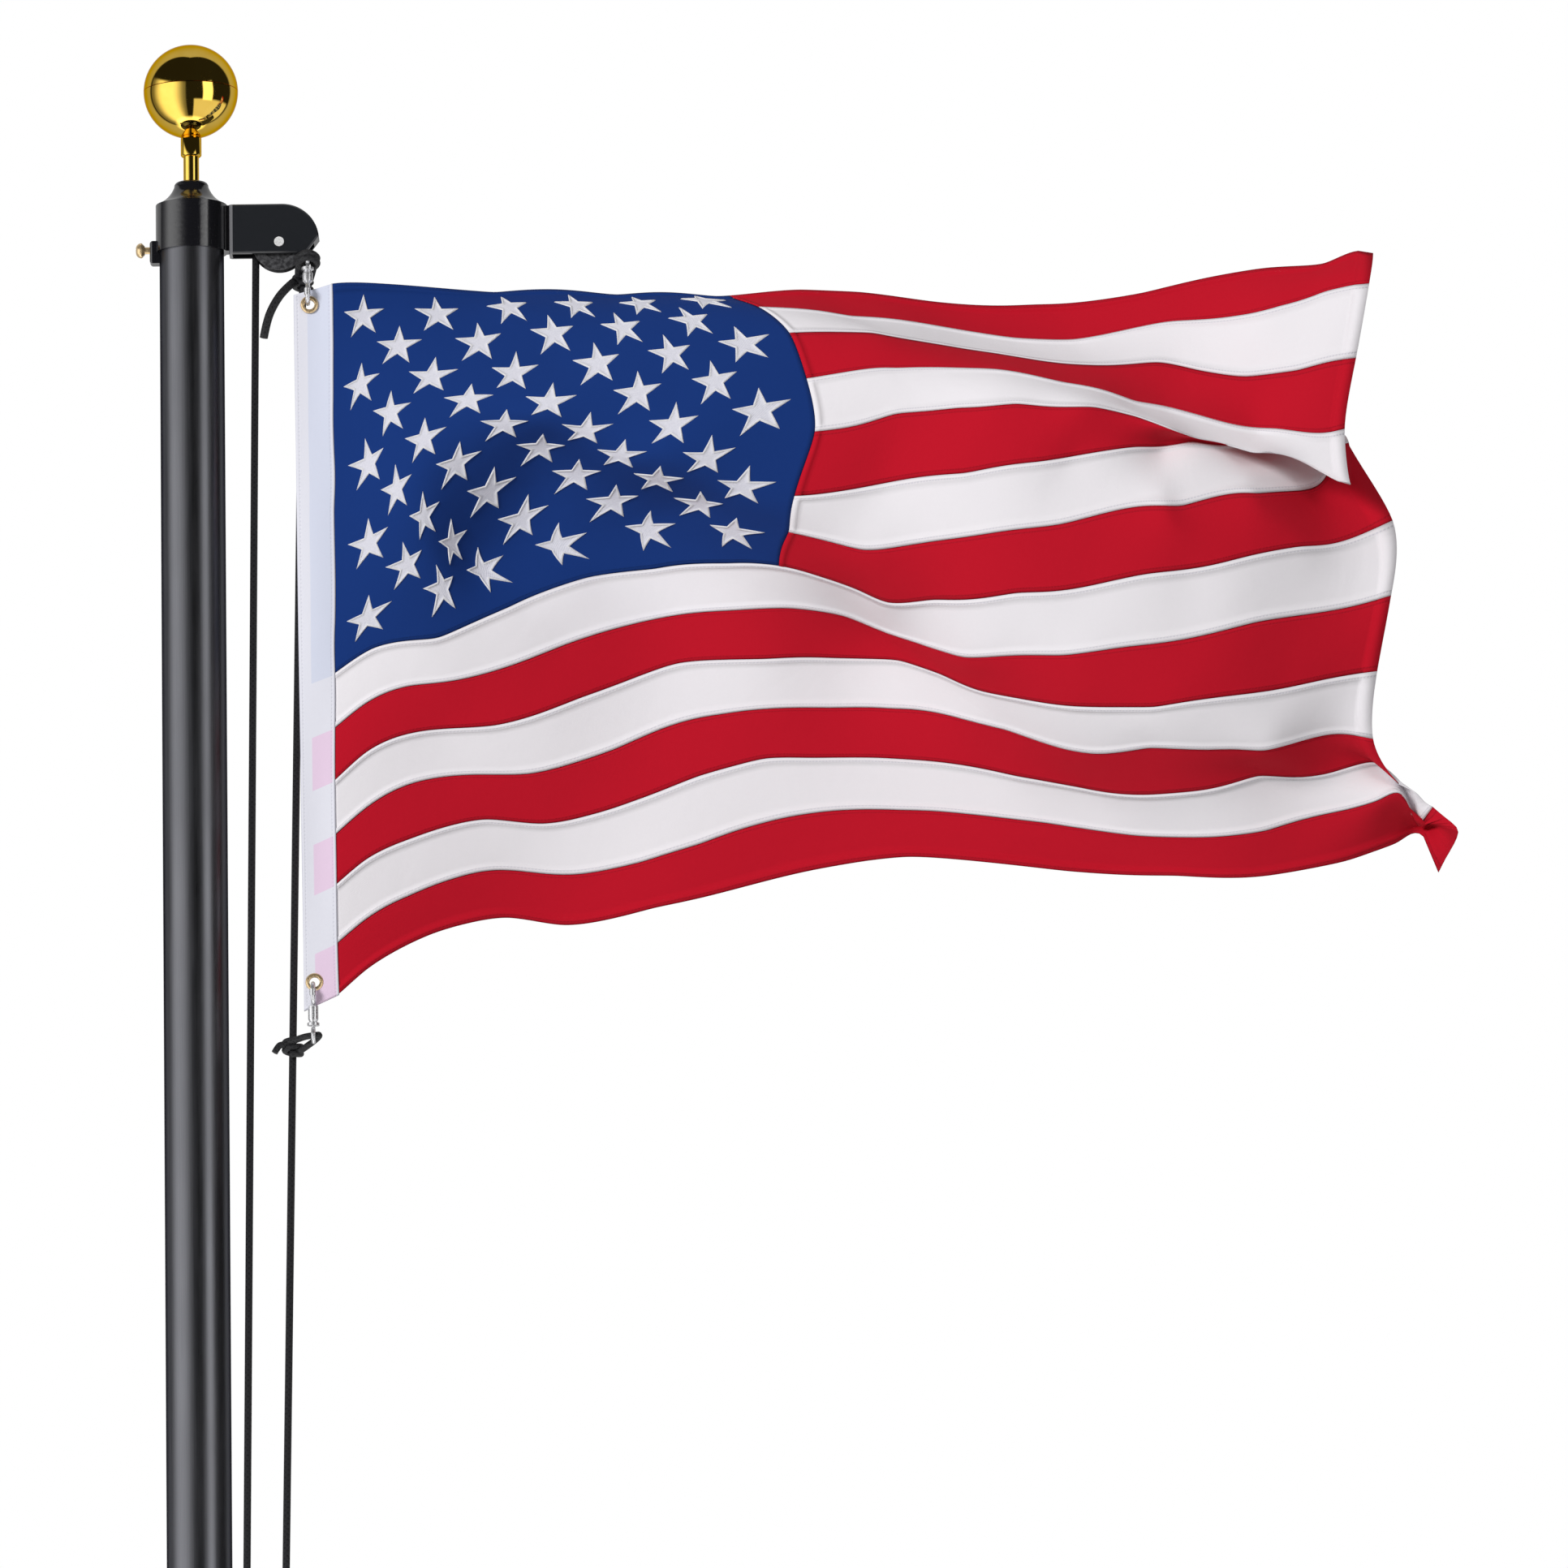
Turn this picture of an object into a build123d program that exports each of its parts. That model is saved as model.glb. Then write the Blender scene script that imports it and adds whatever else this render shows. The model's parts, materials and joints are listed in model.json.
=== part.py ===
from build123d import *
import math
import os

# Flagpole with a pulley truck, a gold ball, a halyard and a sewn stars and stripes flag.
# Millimetres. +Z is up, the truck's arm and the flag point along +X, and the origin is
# the centre of the tube's end at ground level.

# Pole tubes
tube_radius = 25.4
tube_wall = 1.6
tube_edge = 0.5
section_length = 1524.0
sleeve_depth = 600.0
spigot_length = 150.0
spigot_clearance = 0.15
swage_length = 12.0

# Truck casting
collar_wall = 2.75
collar_clearance = 0.1
collar_height = 38.0
collar_roof = 6.0
flare_height = 19.0
neck_radius = 13.5
arm_thickness = 22.0
cheek_wall = 4.0
arm_top = 36.7
arm_bottom = -3.0
arm_top_straight = 71.4
arm_tip_radius = 29.3
arm_nose_start = 90.4
arm_nose_angle = 6.0
arm_start = 29.8
arm_root_bevel = 3.0
arm_edge_bevel = 1.2
web_thickness = 14.0
cavity_overrun = 2.0
lug_width = 12.0
lug_reach = 33.0
lug_top = 9.0
lug_bottom = -9.0
lug_rounding = 2.5
lug_overlap = 4.0

# Thumb screw in the lug
screw_radius = 2.75
screw_height = 2.5
screw_head_radius = 6.0
screw_head_length = 7.0
screw_reach = 44.0
screw_neck_share = 0.6
screw_rim_height = 2.4
screw_crown_radius = 1.5
screw_tip_gap = 0.02

# Sheave, its axle and the halyard that runs over it
sheave_x = 69.3
sheave_height = 5.8
sheave_radius = 21.5
sheave_width = 12.0
sheave_pitch_radius = 18.65
sheave_flare = 1.1
hub_radius = 7.0
web_recess = 1.2
rim_inner_radius = 14.0
axle_radius = 3.0
axle_head_radius = 3.9
axle_head_height = 1.4
running_clearance = 0.05
rope_radius = 3.0
groove_clearance = 0.3

# Gold finial
stem_radius = 6.15
stem_height = 20.6
stem_tenon_radius = 4.5
stem_tenon_length = 10.0
socket_radius = 8.2
socket_height = 15.9
socket_chamfer = 1.4
ball_radius = 37.3
ball_wall = 1.2
ball_seam = 0.25
ball_lip = 6.0

# Cleat, turned a little from the arm towards the front
cleat_above_joint = 376.0
cleat_turn = -45.0
cleat_length = 120.0
cleat_base_length = 56.0
cleat_base_rounding = 4.0
cleat_base_width = 16.0
cleat_base_thickness = 5.0
cleat_base_sink = 3.0
cleat_seat_gap = 0.01
cleat_leg_length = 34.0
cleat_leg_width = 10.0
cleat_horn_radius = 5.5
cleat_horn_offset = 21.0
cleat_horn_flatness = 0.85
# Sections of the horns: place along the cleat, thickness and lift from the middle
cleat_horn_form = [
    (-0.5, 0.5, 4.0),
    (-0.38, 0.78, 1.7),
    (-0.2, 0.95, 0.2),
    (0.0, 1.0, 0.0),
    (0.2, 0.95, 0.2),
    (0.38, 0.78, 1.7),
    (0.5, 0.5, 4.0),
]
cleat_screw_radius = 2.0
cleat_screw_head_radius = 3.6
cleat_screw_head_height = 1.6
cleat_screw_spacing = 44.0
cleat_screw_rounding = 1.2
cleat_screw_grip = 4.0
strand_side = 13.5
strand_reach = 38.0
strand_foot = 24.0
# Route of the rope on the cleat: sideways, up along the cleat and out from the pole's axis
belay_route = [
    (-13.5, 24.0, 38.0),
    (-12.0, -10.0, 37.5),
    (-7.5, -26.0, 37.0),
    (0.0, -31.5, 37.0),
    (7.5, -27.0, 38.5),
    (10.5, -19.0, 44.0),
    (6.0, -8.0, 52.0),
    (0.0, 0.0, 54.8),
    (-6.0, 8.0, 52.5),
    (-10.5, 20.0, 46.0),
    (-7.5, 28.0, 39.5),
    (0.0, 32.0, 37.0),
    (7.5, 28.0, 39.5),
    (10.5, 20.0, 46.0),
    (6.0, 8.0, 57.0),
    (0.0, 0.0, 61.5),
    (-6.0, -8.0, 57.0),
    (-10.5, -22.0, 47.0),
    (-8.5, -34.0, 40.0),
    (0.0, -38.5, 37.2),
    (8.5, -35.5, 36.8),
    (14.0, -24.0, 37.0),
    (12.6, 0.0, 37.5),
    (13.5, 24.0, 38.0),
]

# Hitches on the halyard, and the swivel snaps on them
hitch_bore_clearance = 0.25
hitch_coils = 3
hitch_coil_pitch = 1.75
hitch_below_upper_eye = 16.2
hitch_below_lower_eye = 7.0
eye_above_upper_grommet = 38.0
eye_below_lower_grommet = 42.0
link_radius = 2.6
link_start = 0.5
link_gap = 3.4
tail_radius = 3.3
# Loose ends of the two knots, from the middle of each knot
upper_tail_route = [
    (-7.0, -8.0, 0.0),
    (-14.0, -20.0, -9.0),
    (-21.5, -25.5, -21.0),
    (-27.5, -27.0, -35.0),
    (-30.0, -27.0, -49.0),
]
lower_tail_route = [
    (-8.4, -6.2, 2.0),
    (-11.0, -7.2, 1.0),
    (-14.0, -8.0, -4.5),
]
swing_x = 92.0
swing_y = -22.0
swivel_pin_radius = 1.5
swivel_pin_length = 9.0
snap_barrel_radius = 4.0
snap_collar_radius = 4.8
snap_collar_height = 2.0
snap_waist_radius = 3.0
snap_gate_radius = 2.6
snap_gate_length = 5.0
snap_seat = 1.1
snap_ring_radius = 8.0
snap_wire_radius = 1.7
hitch_eye_radius = 5.0

# Flag
flag_hoist = 567.0
flag_fly = 945.0
cloth_thickness = 2.0
heading_width = 29.5
heading_thickness = 3.0
grommet_radius = 7.0
grommet_hole_radius = 4.0
grommet_flange = 1.0
grommet_inset = 1.2
upper_grommet_drop = 21.0
lower_grommet_rise = 5.0
heading_slope = 10.0
heading_foot_inset = 4.0
heading_foot_rise = 9.0
hoist_x = 109.5
top_corner_drop = 27.2
stripe_count = 13
canton_stripes = 7
canton_share = 0.4

# Shape of the flag in the wind. One line for each seam from the top edge to the bottom
# edge, with values at the hoist and at each tenth of the fly: how far the seam seems to lie
# below the top corner, and how far it lies behind the hoist. Drawn for a hoist of 556 and a
# fly of 927, by an eye that looks up at the flag and is turned a little.
eye_rise = 11.0
eye_turn = 0.81
net_hoist = 556.0
net_fly = 927.0
seam_drops = [
    [0, 4, 8, 8, 10, 6, 15, 17, 3, -12, -24],
    [44, 34, 27, 23, 18, 26, 36, 43, 31, 18, 0],
    [88, 70, 63, 53, 38, 39, 52, 62, 63, 72, 58],
    [131, 100, 98, 88, 74, 66, 67, 80, 98, 110, 112],
    [175, 137, 123, 128, 116, 105, 95, 95, 114, 131, 148],
    [219, 177, 154, 157, 166, 156, 145, 135, 123, 118, 136],
    [263, 224, 193, 184, 192, 207, 196, 185, 173, 161, 154],
    [307, 276, 237, 222, 220, 247, 244, 235, 221, 207, 185],
    [349, 314, 286, 261, 253, 265, 290, 288, 275, 260, 244],
    [389, 347, 331, 302, 293, 293, 315, 323, 329, 317, 303],
    [431, 384, 377, 350, 332, 332, 342, 364, 363, 364, 356],
    [471, 424, 420, 396, 371, 371, 380, 396, 396, 382, 391],
    [518, 467, 461, 442, 417, 411, 418, 428, 432, 418, 406],
    [556, 503, 502, 483, 462, 449, 453, 462, 462, 456, 460],
]
seam_depths = [
    [0, 22, 42, 45, 40, 55, 65, 68, 55, 32, 5],
    [0, 4, 12, 12, 12, 28, 42, 45, 38, 5, -20],
    [0, -8, -10, -16, -12, -4, 12, 12, 22, 2, -22],
    [0, -16, -30, -32, -28, -24, -22, -22, -6, -10, -26],
    [0, -20, -10, -42, -38, -34, -48, -52, -40, -36, -34],
    [0, -14, 16, -18, -36, -34, -50, -56, -60, -2, -2],
    [0, -4, 28, 16, -18, -26, -46, -54, -58, -40, 26],
    [0, 4, 24, 30, 6, 2, -36, -50, -52, -40, -4],
    [0, 8, 26, 38, 26, 34, -16, -44, -46, -34, -24],
    [0, 16, 28, 42, 38, 46, 12, -26, -40, -28, -16],
    [0, 20, 34, 44, 44, 50, 28, 0, -22, -20, -4],
    [0, 22, 42, 46, 48, 52, 44, 26, 6, 14, 10],
    [0, 24, 46, 48, 52, 54, 50, 40, 22, 22, 14],
    [0, 28, 50, 52, 56, 56, 54, 52, 34, 34, 20],
]
# How far each seam reaches from the hoist, at the canton's right side and at the fly end.
seam_canton_reach = [310, 332, 354, 372, 377, 363, 357, 350, 345, 340, 339, 347, 355, 362]
seam_fly_reach = [816, 812, 802, 793, 796, 814, 818, 830, 828, 817, 814, 834, 850, 864]

# Heights that follow from the values above
lowest_exposed = section_length - sleeve_depth
lower_joint = lowest_exposed
cleat_height = lower_joint + cleat_above_joint
upper_joint = lower_joint + section_length
tube_top = upper_joint + section_length
collar_bottom = tube_top - (collar_height - collar_roof)
collar_radius = tube_radius + collar_clearance + collar_wall
neck_top = collar_bottom + collar_height + flare_height
axle_z = collar_bottom + sheave_height
flag_top = collar_bottom - top_corner_drop
upper_grommet = flag_top - upper_grommet_drop
lower_grommet = flag_top - flag_hoist + lower_grommet_rise
upper_eye = upper_grommet + eye_above_upper_grommet
lower_eye = lower_grommet - eye_below_lower_grommet
stations = len(seam_drops[0]) - 1
canton_station = round(canton_share * stations)

parts = {}


def turned(points):
    """Solid turned about the Z axis from a closed outline of radii and heights."""
    return revolve(Plane.XZ * make_face(Polyline(*points, close=True)), Axis.Z)


def rod(start, end, radius):
    """Round rod between two points."""
    start = Vector(*start)
    end = Vector(*end)
    return Solid.make_cylinder(radius, (end - start).length, Plane(origin=start, z_dir=end - start))


def torus(centre, axis, major, minor):
    """Ring of round wire about a centre."""
    return Solid.make_torus(major, minor, Plane(origin=centre, z_dir=axis))


def rope(points, radius):
    """Rope along runs joined by arcs, each as large as its two runs allow."""
    corners = [Vector(*point) for point in points]
    radii = []
    for before, corner, after in zip(corners, corners[1:], corners[2:]):
        shorter = min((corner - before).length, (after - corner).length)
        turning = math.radians((corner - before).get_angle(after - corner))
        radii.append(0.45 * shorter / math.tan(turning / 2))
    path = FilletPolyline(*corners, radius=radii)
    return sweep(Plane(origin=path @ 0, z_dir=path % 0) * Circle(radius), path=path)


def cleat_screw_holes():
    """Clearance holes for the cleat's screws, through the tube's wall."""
    holes = []
    for side in (-1, 1):
        shaft = Cylinder(
            cleat_screw_radius + running_clearance,
            2 * tube_radius,
            rotation=(0, 90, 0),
            align=(Align.CENTER, Align.CENTER, Align.MIN),
        )
        height = cleat_height + side * cleat_screw_spacing / 2
        holes.append(Rot(0, 0, cleat_turn) * Pos(0, 0, height) * shaft)
    return holes


# Tubes: each lower tube is swaged at its top into a spigot that the next one slides over
def pole_section(bottom, top, has_spigot):
    inner = tube_radius - tube_wall
    outline = [
        (inner, bottom),
        (tube_radius - tube_edge, bottom),
        (tube_radius, bottom + tube_edge),
        (tube_radius, top - tube_edge),
        (tube_radius - tube_edge, top),
    ]
    if has_spigot:
        spigot_outer = inner - spigot_clearance
        spigot_inner = spigot_outer - tube_wall
        outline += [
            (spigot_outer, top),
            (spigot_outer, top + spigot_length),
            (spigot_inner, top + spigot_length),
            (spigot_inner, top - swage_length),
            (inner, top - 2 * swage_length),
        ]
    else:
        outline.append((inner, top))
    return turned(outline)


parts["lower_tube"] = pole_section(0, lower_joint, True)
parts["middle_tube"] = pole_section(lower_joint, upper_joint, True)
for screw_hole in cleat_screw_holes():
    parts["middle_tube"] -= screw_hole
parts["top_tube"] = pole_section(upper_joint, tube_top, False)


# Truck: collar over the tube, flared neck above it and a hollow arm for the sheave
def arm_outline(wall):
    """Top, crown and nose of the arm's outline, drawn inwards by a wall."""
    top = arm_top - wall
    radius = arm_tip_radius - wall
    crown, nose = (
        (
            arm_top_straight + radius * math.cos(math.radians(angle)),
            arm_top - arm_tip_radius + radius * math.sin(math.radians(angle)),
        )
        for angle in ((90 + arm_nose_angle) / 2, arm_nose_angle)
    )
    return top, crown, nose


def rim_edges(arm):
    """Edges of the arm's two cheeks."""
    return arm.edges().filter_by(lambda edge: abs(abs(edge.center().Y) - arm_thickness / 2) < 0.01)


def arm_block():
    """Arm with bevelled edges, and the narrower web that joins it to the collar."""
    top, crown, nose = arm_outline(0.0)
    outline = make_face(
        Line((arm_start, arm_bottom), (arm_start, top))
        + Line((arm_start, top), (arm_top_straight, top))
        + ThreePointArc((arm_top_straight, top), crown, nose)
        + Line(nose, (arm_nose_start, arm_bottom))
        + Line((arm_nose_start, arm_bottom), (arm_start, arm_bottom))
    )
    arm = extrude(Plane.XZ * outline, arm_thickness / 2, both=True)
    arm = chamfer(rim_edges(arm).group_by(Axis.X)[0], arm_root_bevel)
    root_end = arm_start + arm_root_bevel
    arm = chamfer([edge for edge in rim_edges(arm) if edge.center().X > root_end + 0.01], arm_edge_bevel)
    web = Pos(tube_radius + 1.0, 0, 0) * Box(
        root_end - tube_radius,
        web_thickness,
        arm_top,
        align=(Align.MIN, Align.CENTER, Align.MIN),
    )
    return Pos(0, 0, collar_bottom) * (arm + web)


def arm_cavity():
    top, crown, nose = arm_outline(cheek_wall)
    start = collar_radius + cheek_wall
    open_end = arm_bottom - cavity_overrun
    outline = make_face(
        Line((start, open_end), (start, top))
        + Line((start, top), (arm_top_straight, top))
        + ThreePointArc((arm_top_straight, top), crown, nose)
        + Line(nose, (nose[0], open_end))
        + Line((nose[0], open_end), (start, open_end))
    )
    return Pos(0, 0, collar_bottom) * extrude(
        Plane.XZ * outline, arm_thickness / 2 - cheek_wall, both=True
    )


def truck_casting():
    collar_top = collar_bottom + collar_height
    waist = collar_top + 0.8 * flare_height
    lip = neck_radius - 3.4
    flare = make_face(
        Line((0, collar_top), (collar_radius, collar_top))
        + ThreePointArc(
            (collar_radius, collar_top),
            (neck_radius + 4.0, collar_top + 0.42 * flare_height),
            (neck_radius, waist),
        )
        + ThreePointArc((neck_radius, waist), (neck_radius - 1.0, neck_top - 1.0), (lip, neck_top))
        + Line((lip, neck_top), (0, neck_top))
        + Line((0, neck_top), (0, collar_top))
    )
    body = Pos(0, 0, collar_bottom) * Cylinder(
        collar_radius, collar_height, align=(Align.CENTER, Align.CENTER, Align.MIN)
    )
    body += revolve(Plane.XZ * flare, Axis.Z)
    body += arm_block()
    lug = Pos(-lug_reach, 0, collar_bottom + lug_bottom) * Box(
        lug_reach - tube_radius + lug_overlap,
        lug_width,
        lug_top - lug_bottom,
        align=(Align.MIN, Align.CENTER, Align.MIN),
    )
    outer_face = lug.faces().sort_by(Axis.X)[0]
    body += fillet(outer_face.edges(), lug_rounding)
    body -= arm_cavity()
    body -= Pos(0, 0, collar_bottom + lug_bottom) * Cylinder(
        tube_radius + collar_clearance,
        tube_top - collar_bottom - lug_bottom,
        align=(Align.CENTER, Align.CENTER, Align.MIN),
    )
    body -= rod(
        (sheave_x, -arm_thickness, axle_z),
        (sheave_x, arm_thickness, axle_z),
        axle_radius + running_clearance,
    )
    body -= rod(
        (-lug_reach - 1.0, 0, collar_bottom + screw_height),
        (-tube_radius + 2.0, 0, collar_bottom + screw_height),
        screw_radius + running_clearance,
    )
    body -= Pos(0, 0, neck_top - stem_tenon_length) * Cylinder(
        stem_tenon_radius + running_clearance,
        stem_tenon_length,
        align=(Align.CENTER, Align.CENTER, Align.MIN),
    )
    return body


parts["truck"] = truck_casting()


# Brass thumb screw that clamps the truck to the tube
def thumb_screw():
    shank_length = screw_reach - screw_head_length - tube_radius
    crown = shank_length + screw_head_length
    rim = shank_length + screw_rim_height
    profile = make_face(
        Polyline(
            (0, screw_tip_gap),
            (screw_radius, screw_tip_gap),
            (screw_radius, shank_length),
            (screw_head_radius * screw_neck_share, shank_length),
            (screw_head_radius, rim),
        )
        + ThreePointArc(
            (screw_head_radius, rim),
            (0.82 * screw_head_radius, crown - screw_crown_radius),
            (screw_crown_radius, crown),
        )
        + Polyline((screw_crown_radius, crown), (0, crown), (0, screw_tip_gap))
    )
    screw = revolve(Plane.XZ * profile, Axis.Z)
    return Pos(-tube_radius, 0, collar_bottom + screw_height) * Rot(0, -90, 0) * screw


parts["thumb_screw"] = thumb_screw()


# Axle: a plain pin with a riveted head on each cheek
def sheave_axle():
    half = arm_thickness / 2
    pin = rod((sheave_x, -half, axle_z), (sheave_x, half, axle_z), axle_radius)
    for side in (-1, 1):
        pin += rod(
            (sheave_x, side * half, axle_z),
            (sheave_x, side * (half + axle_head_height), axle_z),
            axle_head_radius,
        )
    return pin


parts["sheave_axle"] = sheave_axle()


# Sheave with a round rope groove, a hub and a web that is thinner than its rim
def sheave_wheel():
    half = sheave_width / 2
    groove = rope_radius + groove_clearance
    bore = axle_radius + running_clearance
    profile = make_face(
        Polyline(
            (sheave_pitch_radius, -groove),
            (sheave_radius, -groove - sheave_flare),
            (sheave_radius, -half),
            (rim_inner_radius, -half),
            (rim_inner_radius - web_recess, web_recess - half),
            (hub_radius + web_recess, web_recess - half),
            (hub_radius, -half),
            (bore, -half),
            (bore, half),
            (hub_radius, half),
            (hub_radius + web_recess, half - web_recess),
            (rim_inner_radius - web_recess, half - web_recess),
            (rim_inner_radius, half),
            (sheave_radius, half),
            (sheave_radius, groove + sheave_flare),
            (sheave_pitch_radius, groove),
        )
        + ThreePointArc(
            (sheave_pitch_radius, groove),
            (sheave_pitch_radius - groove, 0),
            (sheave_pitch_radius, -groove),
        )
    )
    return Pos(sheave_x, 0, axle_z) * revolve(profile, Axis.Y)


parts["sheave"] = sheave_wheel()


# Finial: turned stem and socket, and a ball of two spun half shells
stem_top = neck_top + stem_height
ball_centre = stem_top + socket_height + ball_radius


def finial_stem():
    stem = Pos(0, 0, neck_top) * Cylinder(
        stem_radius, stem_height, align=(Align.CENTER, Align.CENTER, Align.MIN)
    )
    tenon = Pos(0, 0, neck_top - stem_tenon_length + 1.0) * Cylinder(
        stem_tenon_radius, stem_tenon_length, align=(Align.CENTER, Align.CENTER, Align.MIN)
    )
    return stem + tenon


def finial_socket():
    socket = Pos(0, 0, stem_top) * Cylinder(
        socket_radius, socket_height + 2.0, align=(Align.CENTER, Align.CENTER, Align.MIN)
    )
    lower_edge = socket.edges().filter_by(GeomType.CIRCLE).sort_by(Axis.Z)[0]
    socket = chamfer(lower_edge, socket_chamfer)
    return socket - Pos(0, 0, ball_centre) * Sphere(ball_radius + 0.02)


def half_shell(is_upper):
    shell = Pos(0, 0, ball_centre) * (Sphere(ball_radius) - Sphere(ball_radius - ball_wall))
    side = 1 if is_upper else -1
    keep = Pos(0, 0, ball_centre + side * ball_radius) * Box(
        3 * ball_radius, 3 * ball_radius, 2 * ball_radius
    )
    half = shell & keep
    groove = torus((0, 0, ball_centre), (0, 0, 1), ball_radius + ball_seam, 2 * ball_seam)
    half -= groove
    if not is_upper:
        inner = ball_radius - ball_wall
        lip = Sphere(inner + 0.3) - Sphere(inner - ball_wall)
        lip &= Pos(0, 0, -ball_lip / 2) * Box(3 * ball_radius, 3 * ball_radius, ball_lip)
        spigot = Sphere(inner - 0.05) - Sphere(inner - ball_wall)
        spigot &= Pos(0, 0, ball_lip / 2) * Box(3 * ball_radius, 3 * ball_radius, ball_lip)
        half += Pos(0, 0, ball_centre) * (lip + spigot)
    return half


parts["finial_stem"] = finial_stem()
parts["finial_socket"] = finial_socket()
parts["ball_lower_half"] = half_shell(False)
parts["ball_upper_half"] = half_shell(True)


# Halyard: one fixed loop, up to the sheave, over it and down to the cleat
turn = math.radians(cleat_turn)
radial = (math.cos(turn), math.sin(turn))
sideways = (-math.sin(turn), math.cos(turn))


def cleat_point(reach, side, height):
    """Point beside the cleat: out from the pole, sideways and up."""
    return (
        reach * radial[0] + side * sideways[0],
        reach * radial[1] + side * sideways[1],
        cleat_height + height,
    )


left_top = (sheave_x - sheave_pitch_radius, 0, axle_z)
right_top = (sheave_x + sheave_pitch_radius, 0, axle_z)
left_foot = cleat_point(strand_reach, -strand_side, strand_foot)
right_foot = cleat_point(strand_reach, strand_side, strand_foot)

parts["halyard_left"] = rod(left_foot, left_top, rope_radius)
parts["halyard_right"] = rod(right_foot, right_top, rope_radius)


def halyard_over_sheave():
    loop = torus((sheave_x, 0, axle_z), (0, 1, 0), sheave_pitch_radius, rope_radius)
    upper = Pos(sheave_x, 0, axle_z) * Box(
        80.0, 20.0, 40.0, align=(Align.CENTER, Align.CENTER, Align.MIN)
    )
    return loop & upper


parts["halyard_over_sheave"] = halyard_over_sheave()


# Cleat: curved foot on the tube, two legs and a pair of horns
def cleat_body():
    horn_reach = tube_radius + cleat_horn_offset
    sections = []
    for share, thickness, lift in cleat_horn_form:
        middle = Plane(
            origin=(horn_reach + lift, 0, share * cleat_length), x_dir=(1, 0, 0), z_dir=(0, 0, 1)
        )
        radius = cleat_horn_radius * thickness
        sections.append(middle * Ellipse(radius * cleat_horn_flatness, radius))
    leg = Pos(horn_reach, 0, 0) * Box(
        cleat_horn_offset,
        cleat_leg_width,
        cleat_leg_length,
        align=(Align.MAX, Align.CENTER, Align.CENTER),
    )
    leg = fillet(leg.edges().filter_by(Axis.X), cleat_leg_width / 3)
    foot = Pos(tube_radius - cleat_base_sink, 0, 0) * Box(
        cleat_base_thickness + cleat_base_sink,
        cleat_base_width,
        cleat_base_length,
        align=(Align.MIN, Align.CENTER, Align.CENTER),
    )
    foot = fillet(foot.edges().filter_by(Axis.X), cleat_base_rounding)
    body = loft(sections) + leg + foot
    body -= Cylinder(tube_radius + cleat_seat_gap, 3 * cleat_length)
    body = Pos(0, 0, cleat_height) * Rot(0, 0, cleat_turn) * body
    for screw_hole in cleat_screw_holes():
        body -= screw_hole
    return body


parts["cleat"] = cleat_body()


def cleat_screws():
    screws = []
    seat = tube_radius + cleat_base_thickness
    for side in (-1, 1):
        height = cleat_height + side * cleat_screw_spacing / 2
        shank = Pos(tube_radius - cleat_screw_grip, 0, height) * Rot(0, 90, 0) * Cylinder(
            cleat_screw_radius,
            cleat_base_thickness + cleat_screw_grip,
            align=(Align.CENTER, Align.CENTER, Align.MIN),
        )
        head = Pos(seat, 0, height) * Rot(0, 90, 0) * Cylinder(
            cleat_screw_head_radius,
            cleat_screw_head_height,
            align=(Align.CENTER, Align.CENTER, Align.MIN),
        )
        head = fillet(head.edges().group_by(Axis.X)[-1], cleat_screw_rounding)
        screws.append(Rot(0, 0, cleat_turn) * (shank + head))
    return Compound(screws)


parts["cleat_screws"] = cleat_screws()


def cleat_turns():
    """Rope belayed on the cleat: under the lower horn, crossed, and under the upper one."""
    return rope([cleat_point(reach, side, height) for side, height, reach in belay_route], rope_radius)


parts["halyard_cleat_turns"] = cleat_turns()


# Hitches: rope coils that slide down the right strand with the flag
strand_axis = (Vector(*right_foot) - Vector(*right_top)).normalized()


def strand_point(drop):
    """Point on the right strand's middle line, by its drop below the collar."""
    along = (axle_z - collar_bottom + drop) / -strand_axis.Z
    return Vector(*right_top) + strand_axis * along


def hitch(eye_height, below_eye):
    """Coils round the strand, and a short rope from them to the swivel's eye."""
    centre = strand_point(collar_bottom - eye_height + below_eye)
    major = 2 * rope_radius + hitch_bore_clearance
    knot = None
    for index in range(hitch_coils):
        shift = (index - (hitch_coils - 1) / 2) * rope_radius * hitch_coil_pitch
        coil = torus(centre + strand_axis * shift, strand_axis, major, rope_radius)
        knot = coil if knot is None else knot + coil
    eye = Vector(swing_x, swing_y, eye_height)
    toward = eye - centre
    flat = Vector(toward.X, toward.Y, 0).normalized()
    start = centre + flat * (major + link_start)
    end = eye - flat * (hitch_eye_radius + link_gap)
    return knot + rod(tuple(start), tuple(end), link_radius)


def swivel_eye(eye_height, side):
    """Small ring that the hitch is tied to, with the pin that the snap turns on."""
    eye = torus((swing_x, swing_y, eye_height), (1, 0, 0), hitch_eye_radius, snap_wire_radius)
    pin_start = eye_height + side * hitch_eye_radius
    pin_end = pin_start + side * swivel_pin_length
    return eye + rod((swing_x, swing_y, pin_start), (swing_x, swing_y, pin_end), swivel_pin_radius)


parts["upper_hitch"] = hitch(upper_eye, hitch_below_upper_eye)
parts["lower_hitch"] = hitch(lower_eye, hitch_below_lower_eye)
parts["upper_swivel_eye"] = swivel_eye(upper_eye, -1)
parts["lower_swivel_eye"] = swivel_eye(lower_eye, 1)


# Loose ends of the two knots, in front of the left strand on the whole way down
def loose_end(eye_height, below_eye, route):
    knot = strand_point(collar_bottom - eye_height + below_eye)
    return rope([tuple(knot + Vector(*point)) for point in route], tail_radius)


parts["upper_tail"] = loose_end(upper_eye, hitch_below_upper_eye, upper_tail_route)
parts["lower_tail"] = loose_end(lower_eye, hitch_below_lower_eye, lower_tail_route)


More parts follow.
